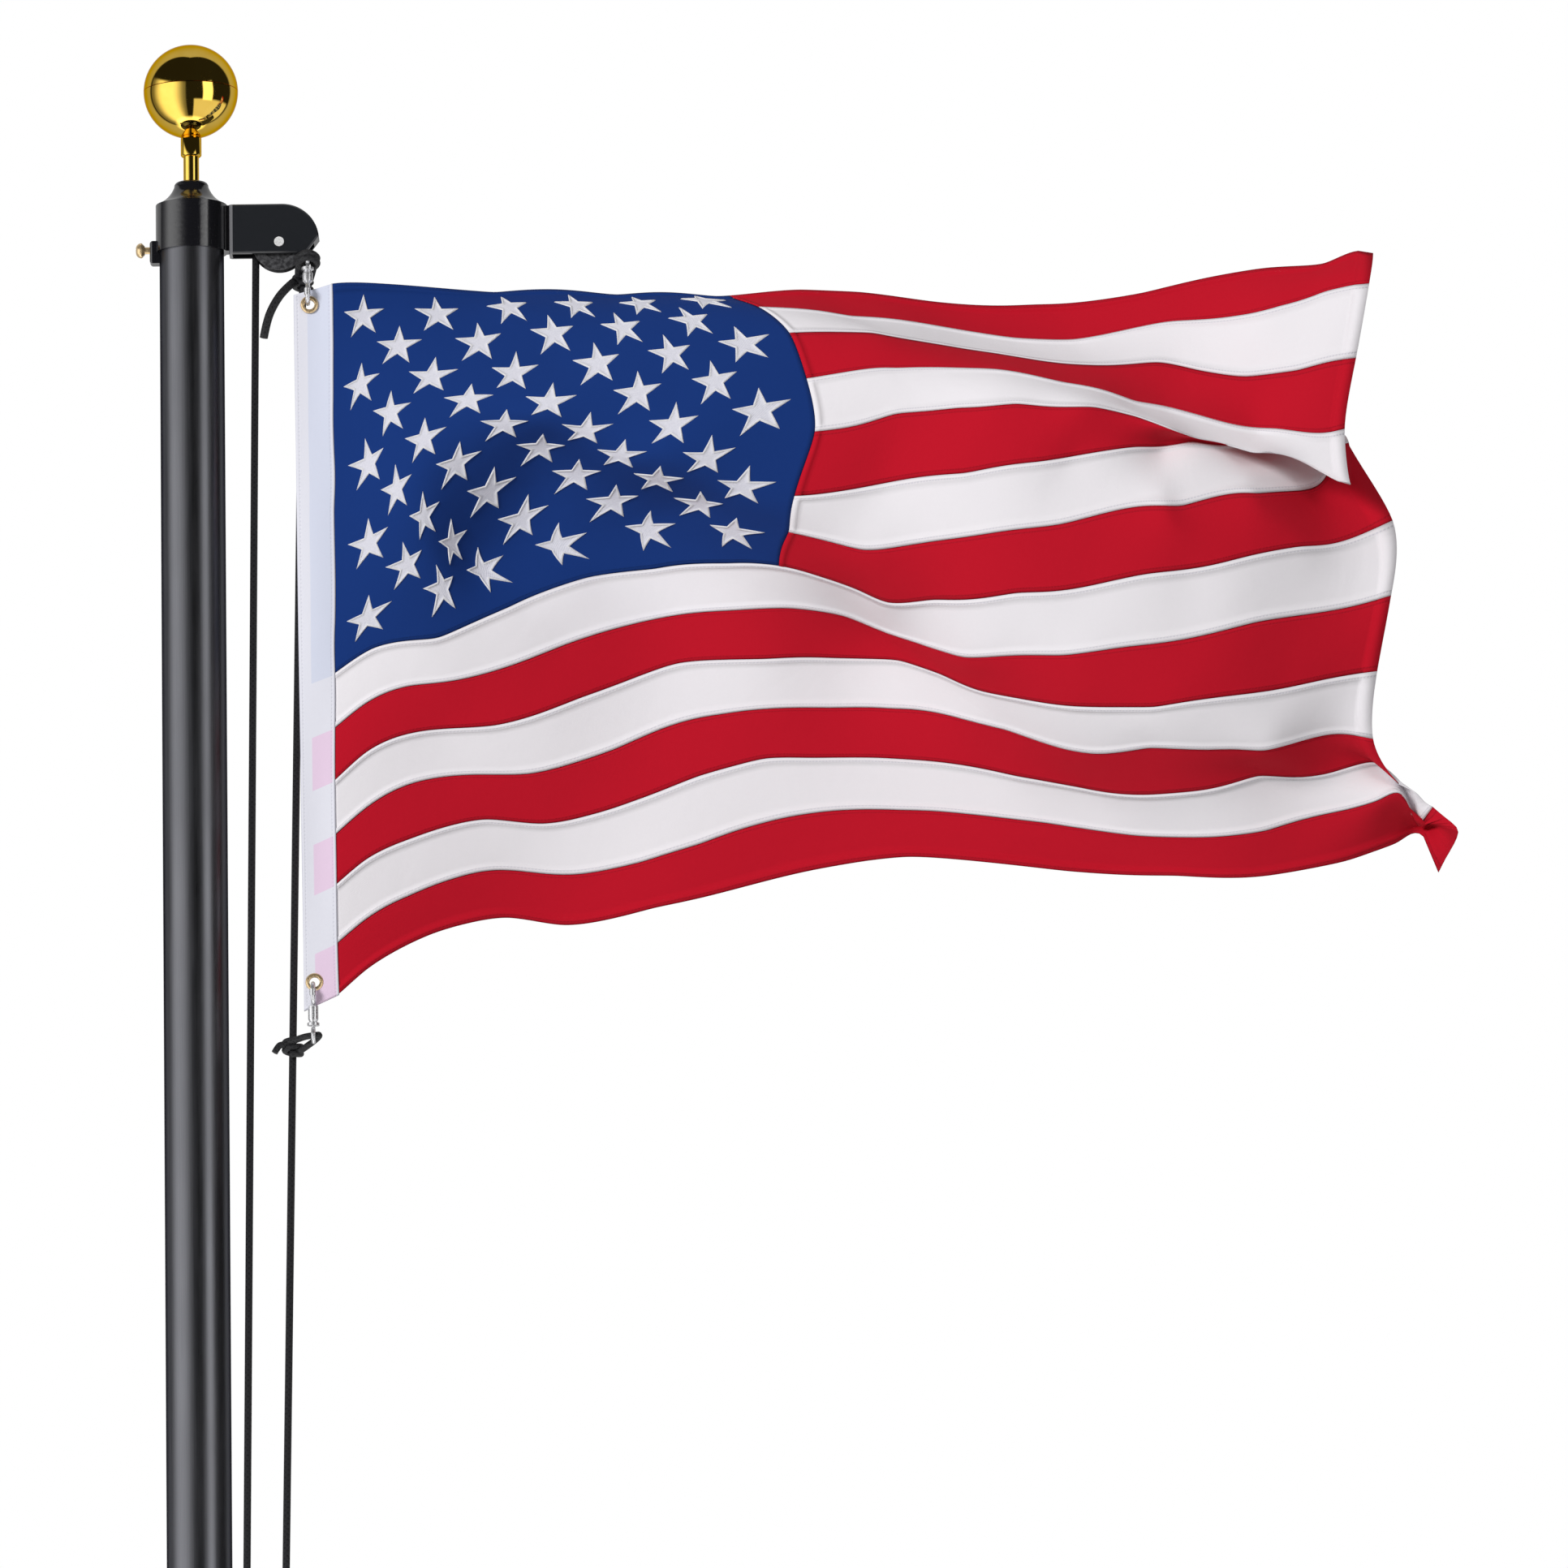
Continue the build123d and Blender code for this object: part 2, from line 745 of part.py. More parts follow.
# Swivel snaps: a turned barrel on the eye's pin, a round hook through the grommet and its gate
def snap_hook(eye_height, side, ring_height):
    top = eye_height + side * (hitch_eye_radius + snap_wire_radius + 1.0)
    ring_edge = ring_height - side * snap_ring_radius
    length = abs(ring_edge - top)
    bore = swivel_pin_radius + running_clearance
    pin_end = eye_height + side * (hitch_eye_radius + swivel_pin_length + snap_seat)
    bore_depth = abs(pin_end - top)
    barrel = turned([
        (bore, 0),
        (snap_collar_radius, 0),
        (snap_collar_radius, snap_collar_height),
        (snap_waist_radius, snap_collar_height + 1.0),
        (snap_barrel_radius, snap_collar_height + 3.0),
        (snap_barrel_radius, length - 2.0),
        (snap_wire_radius, length),
        (0, length),
        (0, bore_depth),
        (bore, bore_depth),
    ])
    place = Plane(origin=(swing_x, swing_y, top), z_dir=(0, 0, side))
    hook = torus((swing_x, swing_y, ring_height), (1, 0, 0), snap_ring_radius, snap_wire_radius)
    gate_middle = swing_y - snap_ring_radius
    gate = rod(
        (swing_x, gate_middle, ring_height - snap_gate_length / 2),
        (swing_x, gate_middle, ring_height + snap_gate_length / 2),
        snap_gate_radius,
    )
    return hook + gate + place * barrel


grommet_x = swing_x + grommet_inset
upper_ring = upper_grommet + snap_ring_radius + snap_seat
lower_ring = lower_grommet - snap_ring_radius - snap_seat
parts["upper_snap"] = snap_hook(upper_eye, -1, upper_ring)
parts["lower_snap"] = snap_hook(lower_eye, 1, lower_ring)


# Grommets: brass rings set in the heading
def grommet(height):
    half = heading_thickness / 2 + grommet_flange
    spool = rod(
        (grommet_x, swing_y - half, height), (grommet_x, swing_y + half, height), grommet_radius
    )
    waist_outer = rod(
        (grommet_x, swing_y - heading_thickness / 2, height),
        (grommet_x, swing_y + heading_thickness / 2, height),
        grommet_radius + 1.0,
    )
    waist_inner = rod(
        (grommet_x, swing_y - heading_thickness / 2, height),
        (grommet_x, swing_y + heading_thickness / 2, height),
        grommet_hole_radius + 1.0,
    )
    spool -= waist_outer - waist_inner
    spool -= rod(
        (grommet_x, swing_y - half - 1.0, height),
        (grommet_x, swing_y + half + 1.0, height),
        grommet_hole_radius,
    )
    return spool


parts["upper_grommet"] = grommet(upper_grommet)
parts["lower_grommet"] = grommet(lower_grommet)


# Heading: the folded white canvas band along the hoist
def heading():
    left = hoist_x - heading_width
    outline = make_face(
        Polyline(
            (left, flag_top - heading_slope),
            (hoist_x, flag_top),
            (hoist_x, flag_top - flag_hoist),
            (left + heading_foot_inset, flag_top - flag_hoist - heading_foot_rise),
            close=True,
        )
    )
    band = Pos(0, swing_y, 0) * extrude(Plane.XZ * outline, heading_thickness / 2, both=True)
    for height in (upper_grommet, lower_grommet):
        band -= rod(
            (grommet_x, swing_y - 10.0, height),
            (grommet_x, swing_y + 10.0, height),
            grommet_hole_radius + 1.05,
        )
    return band


parts["heading"] = heading()


# Cloth: panels between seams, with shared corners so that they meet without overlap
def net_point(seam, station, face):
    """Corner of the cloth net, on its front (-1) or back (1) face."""
    if station <= canton_station:
        reach = seam_canton_reach[seam] * station / canton_station
    else:
        share = (station - canton_station) / (stations - canton_station)
        reach = seam_canton_reach[seam] + (seam_fly_reach[seam] - seam_canton_reach[seam]) * share
    reach *= flag_fly / net_fly
    depth = seam_depths[seam][station] * flag_fly / net_fly
    drop = seam_drops[seam][station] * flag_hoist / net_hoist
    lean = depth * math.tan(math.radians(eye_rise)) - reach * math.tan(math.radians(eye_turn))
    return Vector(
        hoist_x + reach,
        swing_y + depth + face * cloth_thickness / 2,
        flag_top - drop + lean,
    )


def patch(a, b, c, d):
    """Four-cornered patch of cloth with straight sides."""
    return Face.make_bezier_surface([[a, b], [d, c]])


def cloth_panel(first_seam, last_seam, first_station, last_station):
    faces = []
    for seam in range(first_seam, last_seam):
        for station in range(first_station, last_station):
            for face in (-1, 1):
                faces.append(patch(
                    net_point(seam, station, face),
                    net_point(seam, station + 1, face),
                    net_point(seam + 1, station + 1, face),
                    net_point(seam + 1, station, face),
                ))
    for seam in (first_seam, last_seam):
        for station in range(first_station, last_station):
            faces.append(patch(
                net_point(seam, station, -1),
                net_point(seam, station + 1, -1),
                net_point(seam, station + 1, 1),
                net_point(seam, station, 1),
            ))
    for station in (first_station, last_station):
        for seam in range(first_seam, last_seam):
            faces.append(patch(
                net_point(seam, station, -1),
                net_point(seam + 1, station, -1),
                net_point(seam + 1, station, 1),
                net_point(seam, station, 1),
            ))
    return Solid(Shell(faces))


def stripe(index):
    start = canton_station if index < canton_stripes else 0
    return cloth_panel(index, index + 1, start, stations)


parts["canton"] = cloth_panel(0, canton_stripes, 0, canton_station)
parts["red_stripes"] = Compound([stripe(index) for index in range(0, stripe_count, 2)])
parts["white_stripes"] = Compound([stripe(index) for index in range(1, stripe_count, 2)])

os.makedirs("parts", exist_ok=True)
for name, solid in parts.items():
    export_step(solid, f"parts/{name}.step")
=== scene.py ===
import json
import math

import bmesh
import bpy
import numpy
from mathutils import Matrix, Vector

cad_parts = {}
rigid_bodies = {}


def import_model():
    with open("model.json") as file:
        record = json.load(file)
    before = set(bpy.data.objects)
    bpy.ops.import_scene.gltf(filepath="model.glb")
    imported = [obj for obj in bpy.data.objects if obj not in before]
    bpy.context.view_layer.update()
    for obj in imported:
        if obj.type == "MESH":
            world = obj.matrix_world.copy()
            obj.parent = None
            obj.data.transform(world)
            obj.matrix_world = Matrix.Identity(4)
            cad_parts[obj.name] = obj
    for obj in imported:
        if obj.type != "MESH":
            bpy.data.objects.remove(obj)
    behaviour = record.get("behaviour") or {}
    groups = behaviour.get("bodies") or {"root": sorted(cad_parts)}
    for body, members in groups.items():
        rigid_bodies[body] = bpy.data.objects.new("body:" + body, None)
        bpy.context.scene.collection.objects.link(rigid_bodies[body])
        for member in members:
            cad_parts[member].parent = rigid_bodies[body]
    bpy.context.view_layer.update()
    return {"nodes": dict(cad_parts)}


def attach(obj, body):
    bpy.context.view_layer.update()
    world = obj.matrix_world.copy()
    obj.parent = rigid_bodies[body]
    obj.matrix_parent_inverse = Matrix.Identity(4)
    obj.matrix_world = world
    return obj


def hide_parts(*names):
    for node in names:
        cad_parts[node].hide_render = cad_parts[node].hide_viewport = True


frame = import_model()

bpy.context.scene.view_settings.view_transform = "Standard"

# Camera: it stands on the flag's front side, lower than the flag, and looks up at it by 11
# degrees. It is turned a little about its own view, because the pole leans in the picture.
picture_width = 1932
pixel = 0.000635
view_distance = 11.0
view_rise = math.radians(11.0)
view_turn = math.radians(-0.81)
look_at = Vector((0.4609, 0.0, 3.5071))
camera_turn = Matrix.Rotation(math.pi / 2 + view_rise, 4, "X") @ Matrix.Rotation(view_turn, 4, "Z")
camera_place = look_at + camera_turn.to_3x3() @ Vector((0.0, 0.0, view_distance))
camera = bpy.data.objects.new("camera", bpy.data.cameras.new("camera"))
bpy.context.scene.collection.objects.link(camera)
camera.data.sensor_width = 36.0
camera.data.lens = camera.data.sensor_width * view_distance / (picture_width * pixel)
camera.data.clip_end = 200.0
camera.matrix_world = Matrix.Translation(camera_place) @ camera_turn
bpy.context.scene.camera = camera


# Halyard: one black braided rope, pulled tight between the sheave and the cleat. It runs up to
# the sheave, over it and down again, and is belayed on the cleat.
collar_bottom = 3.94
axle = Vector((0.0693, 0.0, collar_bottom + 0.0058))
pitch_radius = 0.01865
rope_radius = 0.0029
cleat_height = 1.3
cleat_turn = math.radians(-45.0)


def feed(tree, sockets, values):
    """Give each input its value, or join it to the output that feeds it."""
    for socket, value in zip(sockets, values):
        if isinstance(value, bpy.types.NodeSocket):
            tree.links.new(value, socket)
        else:
            socket.default_value = value


def node(tree, kind, inputs=None, **settings):
    """New shader node with its settings and its named inputs."""
    made = tree.nodes.new(kind)
    for name, value in settings.items():
        setattr(made, name, value)
    if inputs:
        feed(tree, [made.inputs[name] for name in inputs], inputs.values())
    return made


def new_material(name):
    """Material with only its output; gives its node tree and a function that joins the shader."""
    material = bpy.data.materials.new(name)
    material.use_nodes = True
    tree = material.node_tree
    tree.nodes.clear()
    output = tree.nodes.new("ShaderNodeOutputMaterial")

    def shade(**sockets):
        inputs = {key.replace("_", " "): value for key, value in sockets.items()}
        shader = node(tree, "ShaderNodeBsdfPrincipled", inputs)
        tree.links.new(shader.outputs["BSDF"], output.inputs["Surface"])

    return material, tree, shade


def math_node(tree, operation, *values):
    """Result of a Math node."""
    made = node(tree, "ShaderNodeMath", operation=operation)
    feed(tree, made.inputs, values)
    return made.outputs[0]


def weighted_sum(tree, start, *shares):
    """Start value plus each mask times its own weight."""
    total = start
    for mask, weight in shares:
        total = math_node(tree, "MULTIPLY_ADD", mask, weight, total)
    return total


def step_node(tree, value, low, high, low_value=0.0, high_value=1.0):
    """Smooth change from one value to another, between two limits of the input."""
    made = node(
        tree, "ShaderNodeMapRange",
        {"Value": value, "From Min": low, "From Max": high, "To Min": low_value, "To Max": high_value},
        interpolation_type="SMOOTHSTEP",
    )
    return made.outputs["Result"]


def blend_node(tree, factor, first, second):
    """Mix of two colours."""
    made = node(tree, "ShaderNodeMix", data_type="RGBA")
    feed(tree, (made.inputs[0], made.inputs[6], made.inputs[7]), (factor, first, second))
    return made.outputs[2]


def noise_node(tree, place, scale, detail, **more):
    """Strength of a noise pattern at a place."""
    inputs = {"Vector": place, "Scale": scale, "Detail": detail, **more}
    return node(tree, "ShaderNodeTexNoise", inputs).outputs["Fac"]


def bump_node(tree, height, strength, distance):
    """Normal of a surface that a height makes uneven."""
    inputs = {"Height": height, "Strength": strength, "Distance": distance}
    return node(tree, "ShaderNodeBump", inputs).outputs["Normal"]


def uv_place(tree, name="UVMap"):
    """Place on a UV map of the piece."""
    return node(tree, "ShaderNodeUVMap", uv_map=name).outputs["UV"]


def split_node(tree, vector):
    """The three parts of a vector."""
    return node(tree, "ShaderNodeSeparateXYZ", {"Vector": vector}).outputs


def add_piece(name, mesh_builder, material, smooth=True):
    """Object from a bmesh, at the origin, with its faces smooth and its material."""
    mesh = bpy.data.meshes.new(name)
    mesh_builder.to_mesh(mesh)
    mesh_builder.free()
    mesh.materials.append(material)
    piece = bpy.data.objects.new(name, mesh)
    bpy.context.scene.collection.objects.link(piece)
    for face in mesh.polygons:
        face.use_smooth = smooth
    return piece


def fit_piece(piece, body, slot, *node_names):
    """Make a piece ride with a body and stand in for its solids."""
    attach(piece, body)
    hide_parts(*node_names)


def route_line(route, steps):
    """Points of the smooth line that a rope's route gives."""
    curve = bpy.data.curves.new("route", "CURVE")
    curve.dimensions = "3D"
    curve.resolution_u = steps
    spline = curve.splines.new("NURBS")
    spline.points.add(len(route) - 1)
    for point, place in zip(spline.points, route):
        point.co = (*place, 1.0)
    spline.order_u = 3
    spline.use_endpoint_u = True
    holder = bpy.data.objects.new("route", curve)
    line = bpy.data.meshes.new_from_object(holder)
    points = [vertex.co.copy() for vertex in line.vertices]
    bpy.data.objects.remove(holder)
    bpy.data.curves.remove(curve)
    bpy.data.meshes.remove(line)
    return points


def rope_mesh(lines, radius, sides):
    """Round rope along each line, with a UV of turns round it and metres along it."""
    builder = bmesh.new()
    layer = builder.loops.layers.uv.new("UVMap")
    for line in lines:
        stations = []
        facing = (line[1] - line[0]).normalized()
        turned = facing.to_track_quat("Z", "Y")
        along = 0.0
        for before, place, after in zip([line[0]] + line[:-1], line, line[1:] + [line[-1]]):
            along += (place - before).length
            new_facing = (after - before).normalized()
            turned = facing.rotation_difference(new_facing) @ turned
            facing = new_facing
            stations.append((place, turned.copy(), along))
        made = bmesh.ops.create_grid(builder, x_segments=sides, y_segments=len(line) - 1, size=0.5)
        for face in {face for vertex in made["verts"] for face in vertex.link_faces}:
            for loop in face.loops:
                row = round((loop.vert.co.y + 0.5) * (len(line) - 1))
                loop[layer].uv = (loop.vert.co.x + 0.5, stations[row][2])
        for vertex in made["verts"]:
            place, turn, _ = stations[round((vertex.co.y + 0.5) * (len(line) - 1))]
            angle = 2 * math.pi * vertex.co.x
            vertex.co = place + turn @ Vector((radius * math.cos(angle), radius * math.sin(angle), 0.0))
    bmesh.ops.remove_doubles(builder, verts=builder.verts, dist=1e-7)
    bmesh.ops.holes_fill(builder, edges=[edge for edge in builder.edges if edge.is_boundary])
    bmesh.ops.recalc_face_normals(builder, faces=builder.faces)
    return builder


def braid_material(name, colour, strand_pitch, carriers):
    """Braided cord: two sets of strands that wind round it both ways, with painted shade in the grooves
    between them.
    """
    material, tree, shade = new_material(name)
    place = uv_place(tree)
    turn_share, length, _ = split_node(tree, place)
    round_it = math_node(tree, "MULTIPLY", turn_share, float(carriers))
    along = math_node(tree, "DIVIDE", length, strand_pitch)
    heights = []
    for direction in ("ADD", "SUBTRACT"):
        winding = math_node(tree, direction, round_it, along)
        wave = math_node(tree, "SINE", math_node(tree, "MULTIPLY", winding, math.pi))
        heights.append(math_node(tree, "ABSOLUTE", wave))
    height = math_node(tree, "MAXIMUM", *heights)
    fibres = noise_node(tree, place, 900.0, 2.0)
    normal = bump_node(tree, weighted_sum(tree, height, (fibres, 0.25)), 0.7, 0.0004)
    # Painted shade: the low parts between the strands are darkened.
    dark = tuple(0.45 * part for part in colour[:3]) + (1.0,)
    tone = blend_node(tree, step_node(tree, height, 0.35, 0.95), dark, colour)
    shade(Base_Color=tone, Roughness=0.62, Normal=normal)
    return material


def cleat_place(side, height, reach):
    """Point beside the cleat: sideways, up and out from the pole's axis."""
    return Vector((
        reach * math.cos(cleat_turn) - side * math.sin(cleat_turn),
        reach * math.sin(cleat_turn) + side * math.cos(cleat_turn),
        cleat_height + height,
    ))


black_braid = braid_material("black braid", (0.018, 0.018, 0.020, 1.0), 0.0042, 4)
left_top = axle - Vector((pitch_radius, 0, 0))
right_top = axle + Vector((pitch_radius, 0, 0))
left_foot, right_foot = (cleat_place(side, 0.024, 0.038) for side in (-0.0135, 0.0135))
rope_sides = 20
bent_rope_sides = 16

for name, foot, top in (("left", left_foot, left_top), ("right", right_foot, right_top)):
    strand_mesh = rope_mesh([[foot, top]], rope_radius, rope_sides)
    strand = add_piece(f"halyard_{name}_rope", strand_mesh, black_braid)
    fit_piece(strand, "pole", "rope_black", f"halyard_{name}")

over_line = []
over_steps = 28
for step in range(over_steps + 1):
    angle = math.pi * (1 - step / over_steps)
    over_line.append(axle + Vector((pitch_radius * math.cos(angle), 0, pitch_radius * math.sin(angle))))
over = add_piece("halyard_over_rope", rope_mesh([over_line], rope_radius, rope_sides), black_braid)
fit_piece(over, "pole", "rope_black", "halyard_over_sheave")

# Route of the turns on the cleat, in millimetres sideways, up and out
belay_route = [
    (-13.5, 24.0, 38.0), (-12.0, -10.0, 37.5), (-7.5, -26.0, 37.0), (0.0, -31.5, 37.0),
    (7.5, -27.0, 38.5), (10.5, -19.0, 44.0), (6.0, -8.0, 52.0), (0.0, 0.0, 54.8),
    (-6.0, 8.0, 52.5), (-10.5, 20.0, 46.0), (-7.5, 28.0, 39.5), (0.0, 32.0, 37.0),
    (7.5, 28.0, 39.5), (10.5, 20.0, 46.0), (6.0, 8.0, 57.0), (0.0, 0.0, 61.5),
    (-6.0, -8.0, 57.0), (-10.5, -22.0, 47.0), (-8.5, -34.0, 40.0), (0.0, -38.5, 37.2),
    (8.5, -35.5, 36.8), (14.0, -24.0, 37.0), (12.6, 0.0, 37.5), (13.5, 24.0, 38.0),
]
belay_line = route_line([cleat_place(*(0.001 * part for part in point)) for point in belay_route], 6)
belay_mesh = rope_mesh([belay_line], rope_radius, bent_rope_sides)
belay = add_piece("halyard_belay_rope", belay_mesh, black_braid)
fit_piece(belay, "pole", "rope_black", "halyard_cleat_turns")


# Tube sections: drawn aluminium with a satin black anodised skin. Each lower one is swaged in at
# its top, and the next one slides over it.
tube_radius = 0.0254
tube_wall = 0.0016
joint_heights = (0.924, 2.448)
tube_top = 3.972
edge_round = 0.0005
swage_gap = 0.0002
swage_length = 0.15
swage_taper = (0.012, 0.024)


def turned_mesh(profile, steps=96):
    """Solid turned about a vertical line from a closed or axis-to-axis profile."""
    builder = bmesh.new()
    corners = [builder.verts.new((radius, 0.0, height)) for radius, height in profile]
    edges = [builder.edges.new(pair) for pair in zip(corners, corners[1:])]
    if profile[0][0] > 0:
        edges.append(builder.edges.new((corners[-1], corners[0])))
    bmesh.ops.spin(
        builder, geom=corners + edges, cent=(0, 0, 0), axis=(0, 0, 1), angle=2 * math.pi,
        steps=steps, use_merge=True, use_duplicate=False,
    )
    bmesh.ops.remove_doubles(builder, verts=builder.verts, dist=1e-6)
    bmesh.ops.recalc_face_normals(builder, faces=builder.faces)
    return builder


def sharpen(piece, degrees=32.0):
    """Keep the piece's real corners crisp under smooth shading."""
    builder = bmesh.new()
    builder.from_mesh(piece.data)
    for edge in builder.edges:
        edge.smooth = len(edge.link_faces) == 2 and edge.calc_face_angle() < math.radians(degrees)
    builder.to_mesh(piece.data)
    builder.free()


def object_place(tree):
    """Place on the object itself, in metres."""
    return node(tree, "ShaderNodeTexCoord").outputs["Object"]


def anodised_material():
    """Satin black skin with the long fine grain of drawn tube."""
    material, tree, shade = new_material("black anodised tube")
    place = object_place(tree)
    long_place = node(tree, "ShaderNodeMapping", {"Vector": place, "Scale": (1.0, 1.0, 0.012)})
    grain = noise_node(tree, long_place.outputs["Vector"], 1400.0, 4.0, Roughness=0.6)
    cloud = noise_node(tree, place, 9.0, 3.0)
    roughness = math_node(
        tree, "ADD", step_node(tree, grain, 0.3, 0.7, 0.29, 0.35),
        step_node(tree, cloud, 0.3, 0.7, -0.02, 0.03),
    )
    tone = blend_node(
        tree, step_node(tree, grain, 0.25, 0.75), (0.155, 0.157, 0.172, 1.0), (0.195, 0.197, 0.213, 1.0),
    )
    shade(
        Base_Color=tone, Metallic=1.0, Roughness=roughness, Specular_Tint=(0.1, 0.1, 0.11, 1.0),
        Normal=bump_node(tree, grain, 0.08, 0.0001),
    )
    return material


anodised = anodised_material()
inner = tube_radius - tube_wall
for name, bottom, top in zip(
    ("lower_tube", "middle_tube", "top_tube"), (0.0, *joint_heights), (*joint_heights, tube_top),
):
    profile = [
        (inner, bottom),
        (tube_radius - edge_round, bottom),
        (tube_radius, bottom + edge_round),
        (tube_radius, top - edge_round),
        (tube_radius - edge_round, top),
        (inner, top),
    ]
    if name != "top_tube":
        swage_radius = inner - swage_gap
        profile[-1:] = [
            (swage_radius, top),
            (swage_radius, top + swage_length),
            (swage_radius - tube_wall, top + swage_length),
            (swage_radius - tube_wall, top - swage_taper[0]),
            (inner, top - swage_taper[1]),
        ]
    tube = add_piece(name + "_skin", turned_mesh(profile), anodised)
    sharpen(tube)
    fit_piece(tube, "pole", "tube", name)


# Truck: black moulding, a collar on the tube with a flared neck above and a hollow arm for the
# sheave. The collar is glossy, the arm's cheeks are satin and a little scuffed. The cleat that is
# screwed to the tube lower down is moulded in the same black.
def band_node(tree, value, low, high, soft):
    """One between two limits, with edges that fade inside them."""
    rising = step_node(tree, value, low, low + soft)
    falling = step_node(tree, value, high - soft, high, 1.0, 0.0)
    return math_node(tree, "MULTIPLY", rising, falling)


def gloss_black_material():
    """Black moulding with fine scratches, satin on the arm, and a painted highlight on the facet at its
    root.
    """
    material, tree, shade = new_material("gloss black moulding")
    place = object_place(tree)
    scratch_place = node(
        tree, "ShaderNodeMapping",
        {"Vector": place, "Rotation": (0.0, 0.5, 0.0), "Scale": (1.0, 1.0, 0.08)},
    )
    scratches = noise_node(tree, scratch_place.outputs["Vector"], 2600.0, 2.0)
    scuffs = step_node(tree, scratches, 0.62, 0.78)
    skin = noise_node(tree, place, 320.0, 2.0)
    outwards = split_node(tree, place)["X"]
    on_arm = step_node(tree, outwards, 0.0315, 0.0325)
    # Painted highlight: the facet at the arm's root is coloured pale grey, as if it caught the light.
    painted_facet_highlight = band_node(tree, outwards, 0.0299, 0.0329, 0.0004)
    tone = blend_node(tree, on_arm, (0.0065, 0.0065, 0.0085, 1.0), (0.011, 0.0125, 0.0155, 1.0))
    tone = blend_node(tree, painted_facet_highlight, tone, (0.17, 0.17, 0.18, 1.0))
    shade(
        Base_Color=tone, Roughness=weighted_sum(tree, 0.13, (scuffs, 0.18), (on_arm, 0.16)),
        Specular_IOR_Level=1.0,
        Normal=bump_node(tree, weighted_sum(tree, skin, (scuffs, -0.4)), 0.25, 0.00012),
    )
    return material


def softened_piece(name, node_name, material, slot, edge_width):
    """Copy of a rigid piece with its doubles merged, smooth faces and rounded edges."""
    source = frame["nodes"][node_name]
    builder = bmesh.new()
    builder.from_mesh(source.data)
    builder.transform(source.matrix_world)
    bmesh.ops.remove_doubles(builder, verts=builder.verts, dist=2e-6)
    bmesh.ops.dissolve_limit(
        builder, angle_limit=math.radians(0.6), verts=builder.verts, edges=builder.edges,
    )
    if edge_width:
        corners = [
            edge for edge in builder.edges
            if len(edge.link_faces) == 2 and edge.calc_face_angle() > math.radians(28.0)
        ]
        bmesh.ops.bevel(
            builder, geom=corners, offset=edge_width, segments=2, profile=0.5, affect="EDGES",
            clamp_overlap=True, material=-1,
        )
    piece = add_piece(name, builder, material)
    sharpen(piece, 40.0)
    weigh = piece.modifiers.new("weighted normals", "WEIGHTED_NORMAL")
    weigh.keep_sharp = True
    fit_piece(piece, source.parent.name.removeprefix("body:"), slot, node_name)


gloss_black = gloss_black_material()
softened_piece("truck_moulding", "truck", gloss_black, "truck_black", 0.0009)
softened_piece("cleat_moulding", "cleat", gloss_black, "truck_black", 0.0008)


# Small parts of the truck and cleat: a turned brass thumb screw, a steel axle that is riveted over
# at both ends, the moulded sheave that runs on it, and the two steel screws of the cleat.
def metal_material(name, colour, roughness, grain_scale, grain_depth, metallic):
    """Plain metal with a fine grain that varies its tone and roughness."""
    material, tree, shade = new_material(name)
    grain = noise_node(tree, object_place(tree), grain_scale, 3.0)
    dull = tuple(0.8 * part for part in colour[:3]) + (1.0,)
    shade(
        Base_Color=blend_node(tree, step_node(tree, grain, 0.35, 0.65), dull, colour),
        Metallic=metallic,
        Roughness=step_node(tree, grain, 0.3, 0.7, roughness * 0.8, roughness * 1.25),
        Normal=bump_node(tree, grain, grain_depth, 0.00008),
    )
    return material


brass = metal_material("plain brass", (0.86, 0.64, 0.36, 1.0), 0.30, 700.0, 0.25, 0.75)
steel = metal_material("bright steel", (0.88, 0.88, 0.90, 1.0), 0.30, 900.0, 0.2, 0.8)
rivet_metal = metal_material("bare rivet", (0.93, 0.93, 0.93, 1.0), 0.45, 900.0, 0.2, 0.3)


def sheave_material():
    """Grey moulding that the rope has scuffed."""
    material, tree, shade = new_material("scuffed grey moulding")
    wear = noise_node(tree, object_place(tree), 420.0, 5.0)
    tone = blend_node(
        tree, step_node(tree, wear, 0.35, 0.7), (0.020, 0.020, 0.022, 1.0), (0.085, 0.085, 0.09, 1.0),
    )
    shade(Base_Color=tone, Roughness=0.55, Normal=bump_node(tree, wear, 0.4, 0.0003))
    return material


softened_piece("thumb_screw_turned", "thumb_screw", brass, "brass", 0.0003)
softened_piece("axle_rivets", "sheave_axle", rivet_metal, "steel", 0.0003)
softened_piece("sheave_moulding", "sheave", sheave_material(), "sheave_grey", 0.0003)
softened_piece("cleat_screw_pair", "cleat_screws", steel, "steel", 0.0)


# Knots and swivel snaps: the strand is tied to each steel swivel's eye. Turns of rope grip the
# strand, a bight runs through the eye, and a loose end hangs down in front of the left strand.
# Two more turns lie in front of the upper eye.
flag_top = collar_bottom - 0.0272
upper_grommet = flag_top - 0.021
lower_grommet = flag_top - 0.562
upper_eye = Vector((0.092, -0.022, upper_grommet + 0.038))
lower_eye = Vector((0.092, -0.022, lower_grommet - 0.042))
strand_axis = (right_foot - right_top).normalized()
coil_radius = 0.0062
coil_pitch = 0.0056
coil_turns = 2.1
steps_per_turn = 20
bight_steps = 6
tail_steps = 10
bight_radius = 0.0026
tail_radius = 0.0033
# Routes from the middle of each knot
upper_tail_route = [
    (-0.0070, -0.0080, 0.0), (-0.0140, -0.0200, -0.0090), (-0.0215, -0.0255, -0.0210),
    (-0.0275, -0.0270, -0.0350), (-0.0300, -0.0270, -0.0490),
]
lower_tail_route = [
    (-0.0040, -0.0042, 0.0030), (-0.0084, -0.0062, 0.0020), (-0.0110, -0.0072, 0.0010),
    (-0.0140, -0.0080, -0.0045),
]


